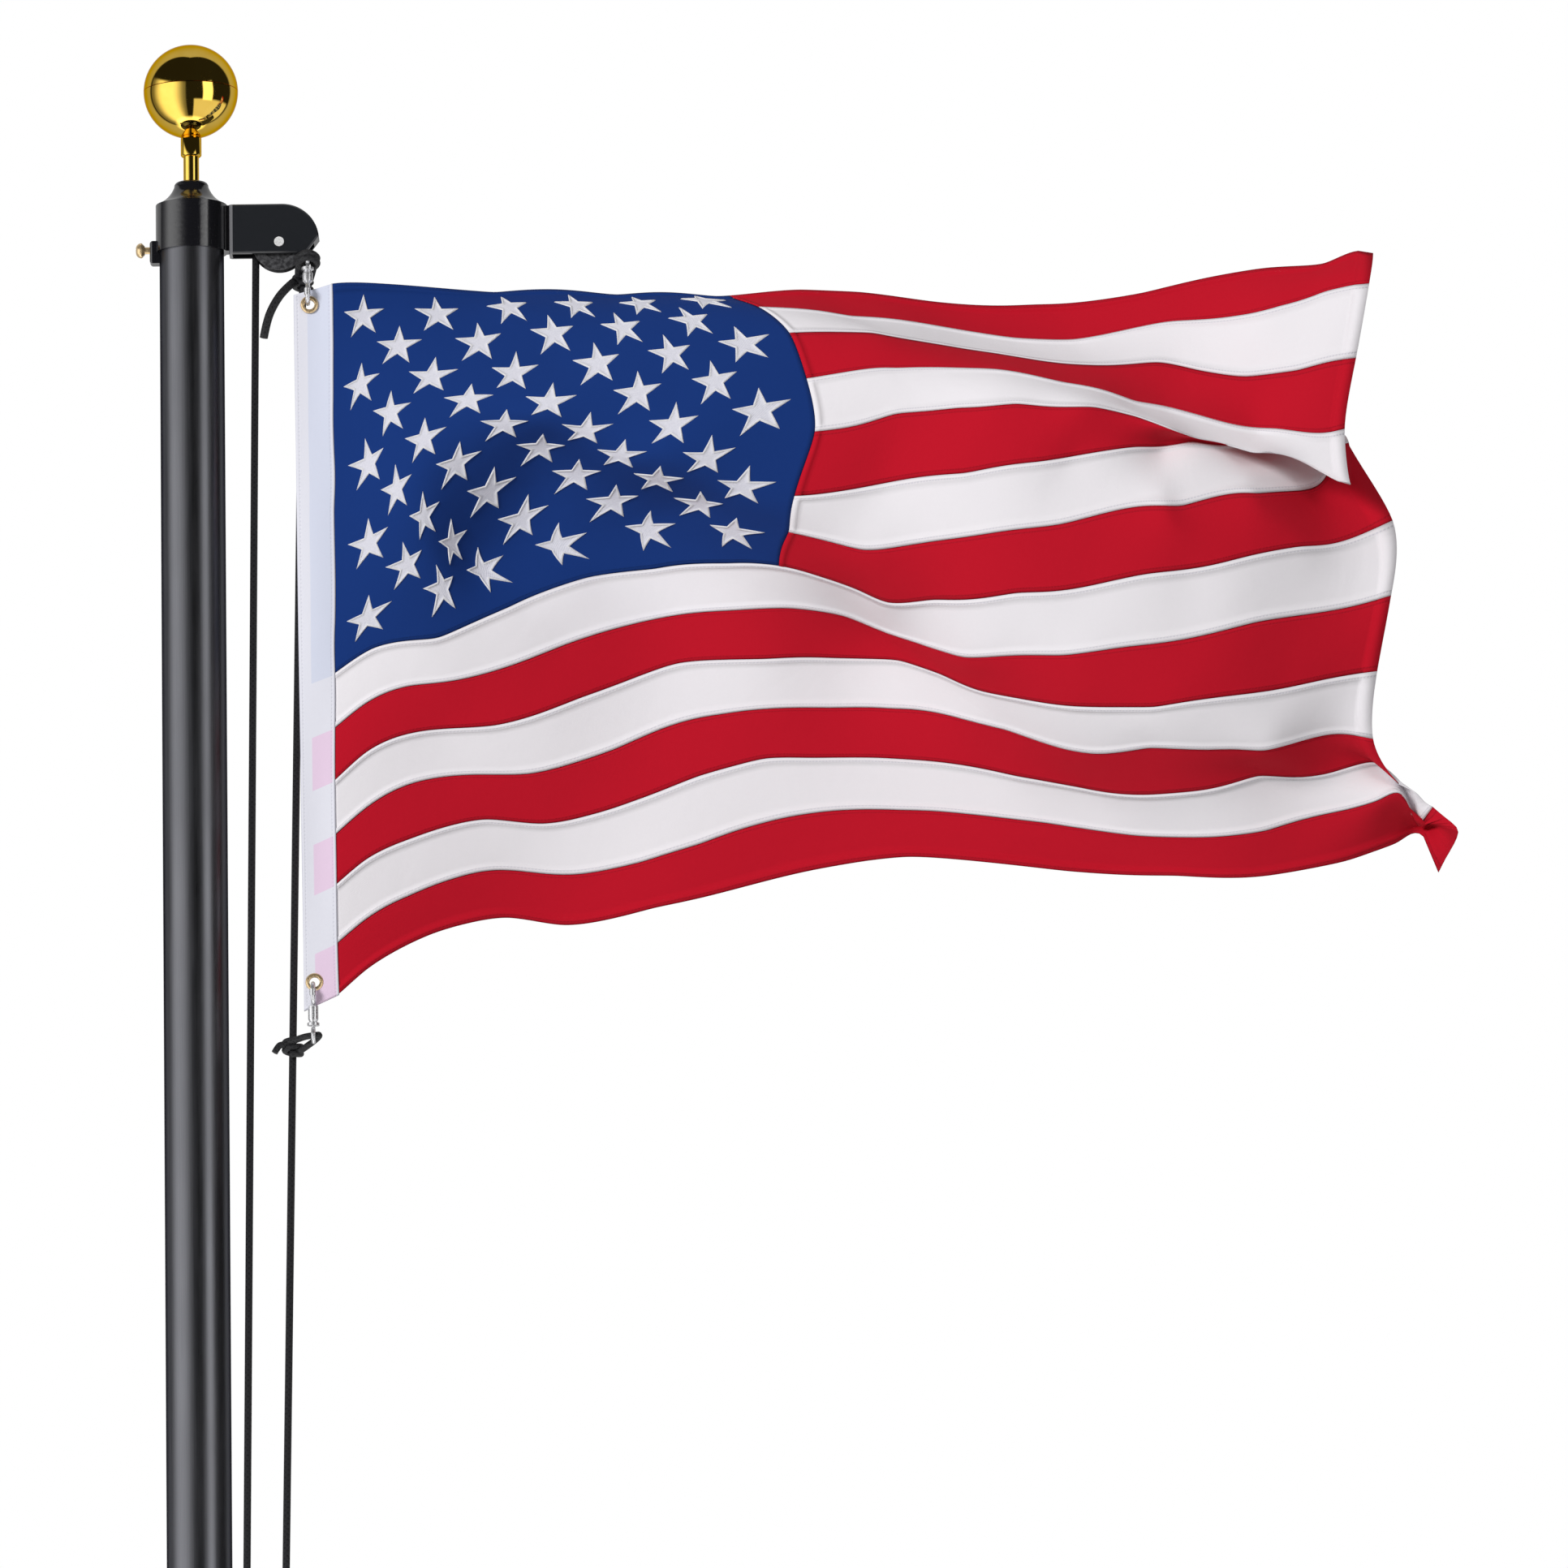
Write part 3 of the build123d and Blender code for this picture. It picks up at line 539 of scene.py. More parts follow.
def strand_point(height):
    """Point on the right strand at a height."""
    return right_top + strand_axis * ((height - right_top.z) / strand_axis.z)


def coil_line(middle):
    """Turns of rope round the strand."""
    sideways = strand_axis.cross(Vector((1.0, 0.0, 0.0))).normalized()
    forward = strand_axis.cross(sideways)
    steps = round(coil_turns * steps_per_turn)
    line = []
    for step in range(steps + 1):
        turn = coil_turns * (step / steps - 0.5)
        angle = 2 * math.pi * turn
        line.append(
            middle + strand_axis * (coil_pitch * turn)
            + (sideways * math.cos(angle) + forward * math.sin(angle)) * coil_radius
        )
    return line


def bight_line(middle, eye):
    """Rope that leaves the turns, runs through the eye and comes back."""
    toward = eye - middle
    return route_line([
        middle + Vector((-0.0035, -0.0050, 0.0040)),
        middle + toward * 0.45 + Vector((-0.0055, 0.0, 0.0020)),
        eye + Vector((-0.0065, 0.0015, -0.0005)),
        eye,
        eye + Vector((0.0062, 0.0015, 0.0010)),
        middle + toward * 0.50 + Vector((0.0060, 0.0, -0.0015)),
        middle + Vector((0.0040, -0.0045, -0.0040)),
    ], bight_steps)


def front_turn(eye, drop):
    """Turn of rope across the front of the eye, with its ends behind the swivel."""
    top = eye - Vector((0.0, 0.0, drop))
    return route_line([top + Vector(point) for point in (
        (-0.0035, 0.0085, -0.0040), (-0.0080, 0.0022, -0.0022), (-0.0055, -0.0060, 0.0),
        (0.0010, -0.0095, 0.0012), (0.0068, -0.0052, -0.0005), (0.0082, 0.0022, -0.0026),
        (0.0035, 0.0085, -0.0040),
    )], bight_steps)


for name, eye, below_eye, route in (
    ("upper", upper_eye, 0.0162, upper_tail_route), ("lower", lower_eye, 0.0070, lower_tail_route),
):
    middle = strand_point(eye.z - below_eye)
    lines = [coil_line(middle), bight_line(middle, eye)]
    tail_line = route_line([middle + Vector(point) for point in route], tail_steps)
    node_names = [f"{name}_hitch"]
    if name == "upper":
        lead = middle + Vector((-0.0030, -0.0055, 0.0030))
        lines.append([lead, lead.lerp(tail_line[0], 0.5), tail_line[0]])
        lines += [front_turn(eye, drop) for drop in (-0.0014, 0.0026)]
        tail_mesh = rope_mesh([tail_line], tail_radius, rope_sides)
        tail = add_piece("upper_loose_end", tail_mesh, black_braid)
        fit_piece(tail, "hoist_line", "rope_black", "upper_tail")
    else:
        lines.append(tail_line)
        node_names.append("lower_tail")
    knot = add_piece(f"{name}_knot", rope_mesh(lines, bight_radius, bent_rope_sides), black_braid)
    fit_piece(knot, "hoist_line", "rope_black", *node_names)

for piece_kind, node_kind in (("swivel_ring", "swivel_eye"), ("snap_cast", "snap")):
    for end in ("upper", "lower"):
        softened_piece(f"{end}_{piece_kind}", f"{end}_{node_kind}", steel, "steel", 0.00025)


# Finial: a gold plated ball of two spun half shells that meet in a fine seam. It stands on a
# turned socket, on a stem that goes down into the truck's neck.
neck_top = collar_bottom + 0.057
stem_top = neck_top + 0.0206
socket_height = 0.0159
ball_radius = 0.0373
ball_centre = stem_top + socket_height + ball_radius
seam_half = 0.00028
shell_wall = 0.0012
seam_depth = 0.0007
seam_gap = 0.00002
outer_steps = 40
inner_steps = 12
ball_sides = 128
stem_sides = 64


def gold_material():
    """Mirror gold with a faint haze."""
    material, tree, shade = new_material("mirror gold")
    haze = noise_node(tree, object_place(tree), 55.0, 4.0)
    tone = blend_node(
        tree, step_node(tree, haze, 0.3, 0.7), (0.80, 0.52, 0.085, 1.0), (0.86, 0.58, 0.11, 1.0),
    )
    shade(
        Base_Color=tone, Metallic=1.0, Roughness=step_node(tree, haze, 0.35, 0.7, 0.035, 0.075),
        Specular_Tint=(0.85, 0.58, 0.22, 1.0), Normal=bump_node(tree, haze, 0.03, 0.0002),
    )
    return material


def half_shell_arc(radius, side, start, steps):
    """Arc of a half ball from an angle above its seam to its top."""
    arc = []
    for step in range(steps):
        angle = start + (math.pi / 2 - start) * step / steps
        arc.append((radius * math.cos(angle), ball_centre + side * radius * math.sin(angle)))
    return arc + [(0.0, ball_centre + side * radius)]


gold = gold_material()
for name, side in (("ball_upper_half", 1), ("ball_lower_half", -1)):
    inner_radius = ball_radius - shell_wall
    seam_height = ball_centre + side * seam_gap
    profile = half_shell_arc(inner_radius, side, 0.0, inner_steps)[:0:-1]
    profile += [(inner_radius, seam_height), (ball_radius - seam_depth, seam_height)]
    profile += half_shell_arc(ball_radius, side, math.asin(seam_half / ball_radius), outer_steps)
    half = add_piece(name + "_shell", turned_mesh(profile, ball_sides), gold)
    sharpen(half, 40)
    fit_piece(half, "pole", "gold", name)

stem = add_piece("finial_stem_turned", turned_mesh([
    (0.0, neck_top - 0.009), (0.0045, neck_top - 0.009), (0.0045, neck_top), (0.0057, neck_top),
    (0.00615, neck_top + 0.00045), (0.00615, stem_top), (0.0, stem_top),
], stem_sides), gold)
sharpen(stem)
socket_seat = ball_centre - math.sqrt(ball_radius ** 2 - 0.0074 ** 2)
socket = add_piece("finial_socket_turned", turned_mesh([
    (0.0, stem_top), (0.0066, stem_top), (0.0074, stem_top + 0.0004), (0.0082, stem_top + 0.0014),
    (0.0082, socket_seat - 0.0012), (0.0079, socket_seat - 0.0004), (0.0074, socket_seat),
    (0.0, socket_seat),
], stem_sides), gold)
sharpen(socket)
for piece, name in ((stem, "finial_stem"), (socket, "finial_socket")):
    fit_piece(piece, "pole", "gold", name)


# Flag's lie in the wind: its seams and stars are traced on the picture, each point is put back at
# its own depth, and the cloth between them bends as a thin plate would.
swing_y = -0.022
flag_hoist = 0.567
flag_fly = 0.945
stripe_count = 13
stripe_width = flag_hoist / stripe_count
canton_stripes = 7
canton_fly = 0.4 * flag_fly
canton_hoist = canton_stripes * stripe_width
seam_starts = [(408, 350), (409, 419), (409, 488), (410, 557), (410, 626), (411, 695), (411, 764),
               (411, 831), (411, 898), (411, 963), (412, 1029), (413, 1091), (414, 1163), (416, 1226)]
seam_canton_x = [896, 935, 973, 994, 1004, 979, 972, 960, 960, 958, 957, 960, 965, 970]
seam_fly_x = [1692, 1687, 1671, 1657, 1664, 1662, 1660, 1716, 1714, 1697, 1692, 1724, 1766, 1773]
seam_points = [
    [(471, 350), (610, 361), (760, 364), (882, 366), (985, 358), (1060, 361), (1146, 372), (1275, 376),
     (1340, 372), (1410, 361), (1487, 343), (1560, 331), (1633, 325), (1675, 310), (1692, 313)],
    [(935, 379), (1047, 390), (1182, 407), (1250, 417), (1322, 419), (1440, 397), (1522, 390),
     (1580, 377), (1633, 360), (1687, 350)],
    [(973, 411), (1076, 411), (1193, 431), (1270, 443), (1334, 450), (1428, 447), (1475, 456),
     (1534, 464), (1600, 456), (1671, 441)],
    [(994, 467), (1105, 454), (1180, 454), (1229, 456), (1311, 472), (1399, 495), (1480, 513),
     (1575, 529), (1657, 529)],
    [(1004, 532), (1105, 510), (1180, 503), (1252, 498), (1346, 502), (1400, 514), (1475, 541),
     (1545, 557), (1622, 577), (1664, 596)],
    [(979, 611), (1094, 595), (1190, 583), (1281, 569), (1400, 551), (1469, 545), (1545, 545),
     (1610, 548), (1662, 545)],
    [(972, 655), (1064, 677), (1110, 673), (1164, 665), (1311, 645), (1457, 623), (1550, 608),
     (1630, 592), (1660, 545)],
    [(458, 800), (539, 786), (628, 748), (717, 714), (806, 701), (896, 694), (960, 697), (1010, 710),
     (1058, 727), (1094, 742), (1150, 739), (1252, 731), (1410, 708), (1500, 695), (1601, 674),
     (1716, 642)],
    [(450, 867), (505, 845), (581, 834), (697, 794), (806, 763), (900, 752), (970, 749), (1041, 759),
     (1095, 780), (1146, 797), (1187, 809), (1311, 807), (1387, 797), (1550, 766), (1714, 734)],
    [(450, 928), (505, 904), (609, 894), (713, 861), (834, 818), (943, 812), (1030, 811), (1108, 814),
     (1160, 831), (1205, 850), (1287, 866), (1345, 871), (1422, 871), (1560, 852), (1697, 827)],
    [(450, 996), (505, 966), (570, 955), (653, 953), (757, 923), (888, 880), (950, 873), (1026, 872),
     (1100, 873), (1164, 880), (1240, 899), (1311, 922), (1350, 928), (1416, 921), (1490, 923),
     (1557, 924), (1692, 910)],
    [(450, 1060), (505, 1034), (598, 1010), (669, 1015), (725, 1005), (779, 988), (860, 957), (943, 935),
     (1000, 934), (1080, 934), (1165, 940), (1252, 956), (1330, 970), (1416, 979), (1490, 972),
     (1551, 956), (1640, 952), (1704, 944), (1724, 965)],
    [(450, 1133), (505, 1103), (560, 1082), (614, 1072), (713, 1077), (790, 1062), (861, 1040),
     (940, 1014), (1026, 999), (1110, 998), (1193, 1003), (1290, 1014), (1399, 1029), (1493, 1031),
     (1560, 1023), (1633, 1003), (1700, 985), (1729, 981), (1749, 1019), (1766, 994)],
    [(450, 1196), (532, 1151), (580, 1137), (625, 1131), (694, 1140), (750, 1133), (806, 1119),
     (943, 1086), (1030, 1067), (1119, 1056), (1210, 1062), (1311, 1073), (1450, 1079), (1581, 1076),
     (1660, 1060), (1721, 1038), (1752, 1029), (1765, 1051), (1773, 1075)],
]
# The lower fly corner is turned: its edge swings out, and a crease runs across it. Each row holds
# the way down in stripes, the distance from the fly edge, the depth and the place in the picture.
corner_places = [
    (11.5, 0.0, 10, (1746, 977)), (11.5, 0.032, 22, (1719, 960)), (12.42, 0.0, -2, (1797, 1022)),
    (12.0, 0.012, 36, None), (12.0, 0.026, 12, None), (12.6, 0.012, 34, None),
]
star_rows = [
    [(447, 390), (539, 388), (627, 379), (710, 377), (789, 375), (867, 371)],
    [(491, 427), (591, 423), (682, 412), (767, 405), (853, 396)],
    [(444, 474), (531, 465), (633, 461), (737, 449), (827, 437), (916, 425)],
    [(481, 509), (577, 493), (676, 497), (786, 485), (881, 471)],
    [(455, 572), (522, 542), (621, 523), (721, 531), (829, 525), (936, 507)],
    [(489, 603), (562, 572), (666, 551), (764, 561), (871, 565)],
    [(455, 670), (522, 637), (602, 606), (710, 585), (810, 590), (913, 600)],
    [(502, 696), (556, 670), (643, 640), (756, 618), (864, 621)],
    [(452, 762), (545, 725), (594, 704), (687, 673), (798, 653), (902, 655)],
]
# How far each seam lies behind the hoist at each tenth of the fly, in millimetres
seam_depths = [
    [0, 22, 42, 45, 40, 55, 65, 68, 55, 32, 5],
    [0, 4, 12, 12, 12, 28, 42, 45, 38, 5, -20],
    [0, -8, -10, -16, -12, -4, 12, 12, 22, 2, -22],
    [0, -16, -30, -32, -28, -24, -22, -22, -6, -10, -26],
    [0, -20, -10, -42, -38, -34, -48, -54, -50, -40, -34],
    [0, -14, 16, -18, -36, -34, -50, -50, -28, -2, -2],
    [0, -4, 28, 16, -18, -26, -46, -54, -58, -40, 26],
    [0, 4, 24, 30, 6, 2, -36, -50, -52, -40, -4],
    [0, 8, 26, 38, 26, 34, -16, -44, -46, -34, -24],
    [0, 16, 28, 42, 38, 46, 12, -26, -40, -28, -16],
    [0, 20, 34, 44, 44, 50, 28, 0, -22, -20, -4],
    [0, 22, 42, 46, 48, 52, 44, 26, 6, 14, 10],
    [0, 24, 46, 48, 52, 54, 50, 40, 22, 22, 14],
    [0, 28, 50, 52, 56, 56, 54, 52, 34, 34, 20],
]


def plate_kernel(points, centres):
    """How much each centre bends the plate at each point."""
    gaps = ((points[:, None, :] - centres[None, :, :]) ** 2).sum(2)
    return gaps * numpy.log(gaps + 1e-12)


def bend_plate(flat, values):
    """Function that bends smoothly through a value at each flat point."""
    flat = numpy.array(flat, dtype=float)
    values = numpy.array(values, dtype=float)
    count = len(flat)
    system = numpy.zeros((count + 3, count + 3))
    system[:count, :count] = plate_kernel(flat, flat)
    system[:count, count] = 1.0
    system[count, :count] = 1.0
    system[:count, count + 1:] = flat
    system[count + 1:, :count] = flat.T
    wanted = numpy.zeros((count + 3, values.shape[1]))
    wanted[:count] = values
    weights = numpy.linalg.solve(system, wanted)
    bends, shift, slopes = weights[:count], weights[count], weights[count + 1:]

    def bent(points):
        return plate_kernel(points, flat) @ bends + shift + points @ slopes

    return bent


def star_place(row, column):
    """Flat place of a star's middle on the canton, whose rows are staggered by half a step."""
    return canton_fly * (2 * column + 1 + row % 2) / 12, canton_hoist * (row + 1) / 10


flat_points = []
picture_points = []
for seam, start in enumerate(seam_starts):
    down = seam * stripe_width
    flat_points.append((0.0, down))
    picture_points.append(start)
    for across, height in seam_points[seam]:
        if across <= seam_canton_x[seam]:
            fly = canton_fly * (across - start[0]) / (seam_canton_x[seam] - start[0])
        else:
            beyond = (across - seam_canton_x[seam]) / (seam_fly_x[seam] - seam_canton_x[seam])
            fly = canton_fly + (flag_fly - canton_fly) * beyond
        flat_points.append((fly, down))
        picture_points.append((across, height))
for down, inward, _, place in corner_places:
    if place:
        flat_points.append((flag_fly - inward, down * stripe_width))
        picture_points.append(place)
for row, stars in enumerate(star_rows):
    for column, place in enumerate(stars):
        flat_points.append(star_place(row, column))
        picture_points.append(place)
seen_cloth = bend_plate(flat_points, picture_points)

depth_points = []
depths = []
for seam, row in enumerate(seam_depths):
    for station, depth in enumerate(row):
        depth_points.append((flag_fly * station / 10, seam * stripe_width))
        depths.append((swing_y + 0.001 * depth,))
for down, inward, depth, _ in corner_places:
    depth_points.append((flag_fly - inward, down * stripe_width))
    depths.append((swing_y + 0.001 * depth,))
cloth_depth = bend_plate(depth_points, depths)


def cloth_places(flat):
    """Points of the hung cloth for flat points, in metres along the fly and down the hoist."""
    flat = numpy.array(flat, dtype=float)
    seen = seen_cloth(flat)
    depth = cloth_depth(flat)[:, 0]
    half = picture_width / 2
    rays = numpy.stack([
        (seen[:, 0] - half) * pixel, (half - seen[:, 1]) * pixel, numpy.full(len(flat), -view_distance),
    ], axis=1) @ numpy.array(camera_turn.to_3x3()).T
    share = (depth - camera_place.y) / rays[:, 1]
    return numpy.array(camera_place) + rays * share[:, None]


def lay_on_cloth(builder):
    """Move a flat bmesh onto the hung cloth: x is along the fly, y down the hoist, z the lift."""
    flat = numpy.array([vertex.co[:2] for vertex in builder.verts])
    lift = numpy.array([vertex.co.z for vertex in builder.verts])
    layer = builder.loops.layers.uv.new("UVMap")
    for face in builder.faces:
        for loop in face.loops:
            loop[layer].uv = loop.vert.co.xy
    places = cloth_places(flat)
    nudge = 0.0005
    along = cloth_places(flat + (nudge, 0)) - places
    down = cloth_places(flat + (0, nudge)) - places
    normals = numpy.cross(down, along)
    normals /= numpy.linalg.norm(normals, axis=1)[:, None]
    for vertex, place in zip(builder.verts, places + normals * lift[:, None]):
        vertex.co = place


# Cloth: dyed nylon panels of blue, red and white, sewn edge to edge. Each white panel is folded
# over the red one at its seams, and the free edges are turned in twice and stitched.
cloth_thickness = 0.0006
column_width = 0.0036
row_width = 0.0040
seam_width = 0.0038
hem_width = 0.0065
fly_hem_width = 0.013
fold_step = 0.0004
fold_lift = 0.0006
thread_pitch = 0.0009
stitch_inset = 0.0028
stitch_length = 0.0030


def weave_group():
    """Plain weave of crossing threads, a row of stitches beside an edge, and painted shade in the crease
    at the edge and in the needle holes.
    """
    group = bpy.data.node_groups.new("sewn weave", "ShaderNodeTree")
    for name, in_out, kind in (
        ("Place", "INPUT", "Vector"), ("Edge Distance", "INPUT", "Float"),
        ("Along Edge", "INPUT", "Float"), ("Height", "OUTPUT", "Float"),
        ("Stitch", "OUTPUT", "Float"), ("Shade", "OUTPUT", "Float"),
    ):
        group.interface.new_socket(name, in_out=in_out, socket_type="NodeSocket" + kind)
    place, distance, along, _ = node(group, "NodeGroupInput").outputs
    threads = []
    for part in split_node(group, place)[:2]:
        threads.append(math_node(
            group, "SINE", math_node(group, "MULTIPLY", part, 2 * math.pi / thread_pitch)
        ))
    weave = math_node(group, "MULTIPLY", *threads)
    slub = noise_node(group, place, 420.0, 3.0)
    ripple = noise_node(group, place, 16.0, 3.0, Distortion=0.6)
    row_gap = math_node(group, "ABSOLUTE", math_node(group, "SUBTRACT", distance, stitch_inset))
    row = step_node(group, row_gap, 0.0002, 0.0007, 1.0, 0.0)
    dash = math_node(group, "SINE", math_node(group, "MULTIPLY", along, 2 * math.pi / stitch_length))
    stitch = math_node(group, "MULTIPLY", row, step_node(group, dash, -0.7, 0.1))
    # Painted shade in the needle holes between the stitches.
    needle = math_node(group, "MULTIPLY", row, step_node(group, dash, -1.0, -0.2, 1.0, 0.0))
    crease = step_node(group, distance, 0.0, 0.0009, 1.0, 0.0)
    height = weighted_sum(
        group, 0.0, (weave, 0.05), (slub, 0.12), (ripple, 1.6), (row, -0.45), (stitch, 0.30),
        (crease, -0.3),
    )
    # Shade output: painted shade of the crease and the needle holes, with a little uneven yarn tone.
    shade = weighted_sum(group, 0.0, (slub, 0.08), (needle, 0.35), (crease, 0.40))
    node(group, "NodeGroupOutput", {"Height": height, "Stitch": stitch, "Shade": shade})
    return group


sewn_weave = weave_group()


def weave_node(tree, place, distance, along):
    """Height, stitches and shade of the sewn weave at a place beside an edge."""
    made = node(tree, "ShaderNodeGroup", node_tree=sewn_weave)
    feed(tree, made.inputs, (place, distance, along))
    return made.outputs


def cloth_material(name, colour, shade_colour, stitch_colour, edge_step):
    """Dyed cloth with stitches along its edges, which lie edge_step apart down the hoist. Its creases
    and needle holes have painted shade in shade_colour.
    """
    material, tree, shade = new_material(name)
    place = uv_place(tree)
    across, down, _ = split_node(tree, place)
    edge_distance = math_node(tree, "PINGPONG", down, edge_step / 2)
    height, stitch, dark = weave_node(tree, place, edge_distance, across)
    # Painted shade: the crease at each edge and the needle holes take the shade colour.
    tone = blend_node(tree, stitch, blend_node(tree, dark, colour, shade_colour), stitch_colour)
    shade(
        Base_Color=tone, Roughness=0.8, Specular_IOR_Level=0.12,
        Normal=bump_node(tree, height, 0.6, 0.0009),
    )
    return material


cloth_white = cloth_material(
    "white cloth", (0.84, 0.81, 0.84, 1.0), (0.60, 0.57, 0.63, 1.0), (0.66, 0.64, 0.69, 1.0),
    stripe_width,
)
cloth_red = cloth_material(
    "red cloth", (0.52, 0.008, 0.022, 1.0), (0.16, 0.002, 0.008, 1.0), (0.40, 0.008, 0.02, 1.0),
    stripe_width,
)
cloth_blue = cloth_material(
    "blue cloth", (0.009, 0.036, 0.180, 1.0), (0.004, 0.012, 0.07, 1.0), (0.008, 0.03, 0.14, 1.0),
    canton_hoist,
)


def spaced(start, end, step, folds):
    """Places from start to end with their lifts; each fold gives a turned strip's width and side."""
    places = [(start, 0.0), (end, 0.0)]
    inner_start = start
    inner_end = end
    for width, side in folds:
        if side < 0:
            inner_start = start + width + fold_step
            places[0] = (start, fold_lift)
            places += [(start + width, fold_lift), (inner_start, 0.0)]
        else:
            inner_end = end - width - fold_step
            places[1] = (end, fold_lift)
            places += [(end - width, fold_lift), (inner_end, 0.0)]
    count = round((inner_end - inner_start) / step)
    for index in range(count + 1):
        place = inner_start + (inner_end - inner_start) * index / count
        if all(abs(place - other) > 1e-6 for other, _ in places):
            places.append((place, 0.0))
    return sorted(places)


def cloth_panel(builder, columns, rows):
    """Flat panel of cloth whose columns and rows are places with lifts."""
    made = bmesh.ops.create_grid(
        builder, x_segments=len(columns) - 1, y_segments=len(rows) - 1, size=0.5
    )
    for vertex in made["verts"]:
        across, lift_across = columns[round((vertex.co.x + 0.5) * (len(columns) - 1))]
        down, lift_down = rows[round((vertex.co.y + 0.5) * (len(rows) - 1))]
        vertex.co = (across, down, max(lift_across, lift_down))


def thicken(piece, thickness):
    """Give a sheet its thickness, half on each side."""
    solid = piece.modifiers.new("thickness", "SOLIDIFY")
    solid.thickness = thickness
    solid.offset = 0.0


def sewn_piece(name, builder, material, node_name, slot):
    """Sheet of panels laid on the hung cloth, with the cloth's thickness."""
    lay_on_cloth(builder)
    piece = add_piece(name, builder, material)
    thicken(piece, cloth_thickness)
    fit_piece(piece, "flag_body", slot, node_name)


# Heading: a folded band of white canvas that the panels are sewn into, with a brass grommet at
# each end. The cloth's colours show through it a little.
heading_width = 0.0295
heading_thickness = 0.0022
heading_top_left = 0.0808
heading_foot_left = 0.0850
heading_top_slope = 0.0085
heading_foot_slope = 0.0125
heading_wave = 0.0011
heading_lap = 0.0012
grommet_x = 0.0932
hole_radius = 0.0042
builder = bmesh.new()
bmesh.ops.create_grid(builder, x_segments=24, y_segments=300, size=0.5)
layer = builder.loops.layers.uv.new("UVMap")
for face in builder.faces:
    for loop in face.loops:
        loop[layer].uv = (
            (loop.vert.co.x + 0.5) * heading_width, (loop.vert.co.y + 0.5) * flag_hoist
        )
hoist_places = cloth_places([(0.0, (vertex.co.y + 0.5) * flag_hoist) for vertex in builder.verts])
for vertex, hoist in zip(builder.verts, hoist_places):
    back = 0.5 - vertex.co.x
    down = vertex.co.y + 0.5
    left = heading_top_left + (heading_foot_left - heading_top_left) * down
    slope = heading_top_slope * (1 - down) + heading_foot_slope * down
    wave = heading_wave * math.sin(9.0 * down + 1.0) * math.sin(math.pi * back)
    vertex.co = (
        hoist[0] + (left - hoist[0]) * back + heading_lap * (1 - back),
        hoist[1] + (swing_y - hoist[1]) * min(1.0, back * 3) + wave,
        hoist[2] - slope * back,
    )
for height in (upper_grommet, lower_grommet):
    inside_hole = [
        vertex for vertex in builder.verts
        if math.hypot(vertex.co.x - grommet_x, vertex.co.z - height) < hole_radius
    ]
    bmesh.ops.delete(builder, geom=inside_hole, context="VERTS")


def canvas_material():
    """White canvas, tinted where the panels' edges lie inside the folded band, with painted shade in the
    creases at its edges.
    """
    material, tree, shade = new_material("white canvas")
    place = uv_place(tree)
    across, down, _ = split_node(tree, place)
    edge_distance = math_node(
        tree, "MINIMUM", across, math_node(tree, "SUBTRACT", heading_width, across)
    )
    height, _, dark = weave_node(tree, place, edge_distance, down)
    inside = math_node(
        tree, "MULTIPLY", step_node(tree, across, 0.0095, 0.0105),
        step_node(tree, across, 0.0272, 0.0278, 1.0, 0.0),
    )
    in_canton = step_node(tree, down, canton_hoist, canton_hoist + 0.001, 1.0, 0.0)
    stripe = math_node(
        tree, "MODULO", math_node(tree, "SUBTRACT", down, canton_hoist), 2 * stripe_width
    )
    in_red = math_node(
        tree, "MULTIPLY", step_node(tree, stripe, stripe_width - 0.0005, stripe_width + 0.0005),
        math_node(tree, "SUBTRACT", 1.0, in_canton),
    )
    plain = (0.75, 0.75, 0.82, 1.0)
    tinted = blend_node(tree, in_canton, plain, (0.65, 0.68, 0.80, 1.0))
    tinted = blend_node(tree, in_red, tinted, (0.78, 0.60, 0.76, 1.0))
    tone = blend_node(tree, inside, plain, tinted)
    # Painted shade: the band's folded edges and needle holes are mixed towards grey-blue.
    shade(
        Base_Color=blend_node(tree, dark, tone, (0.50, 0.50, 0.60, 1.0)), Roughness=0.8,
        Specular_IOR_Level=0.2, Normal=bump_node(tree, height, 0.5, 0.0008),
    )
    return material


band = add_piece("heading_band", builder, canvas_material())
thicken(band, heading_thickness)
fit_piece(band, "flag_body", "canvas", "heading")

# Rolled brass eyelet: its middle line runs through the canvas, and a collar lies on each face
grommet_profile = [
    (0.0040, 0.0020), (0.00435, 0.00245), (0.0052, 0.00255), (0.0062, 0.00225), (0.00685, 0.00175),
    (0.0070, 0.0013), (0.0067, 0.0011), (0.0050, 0.0011),
]
grommet_profile += [(radius, -height) for radius, height in reversed(grommet_profile)]
eyelet_sides = 48
for name, height in (("upper_grommet", upper_grommet), ("lower_grommet", lower_grommet)):
    builder = turned_mesh(grommet_profile, eyelet_sides)
    builder.transform(
        Matrix.Translation((grommet_x, swing_y, height)) @ Matrix.Rotation(math.pi / 2, 4, "X")
    )
    eyelet = add_piece(name + "_eyelet", builder, brass)
    sharpen(eyelet, 50.0)
    fit_piece(eyelet, "flag_body", "brass", name)

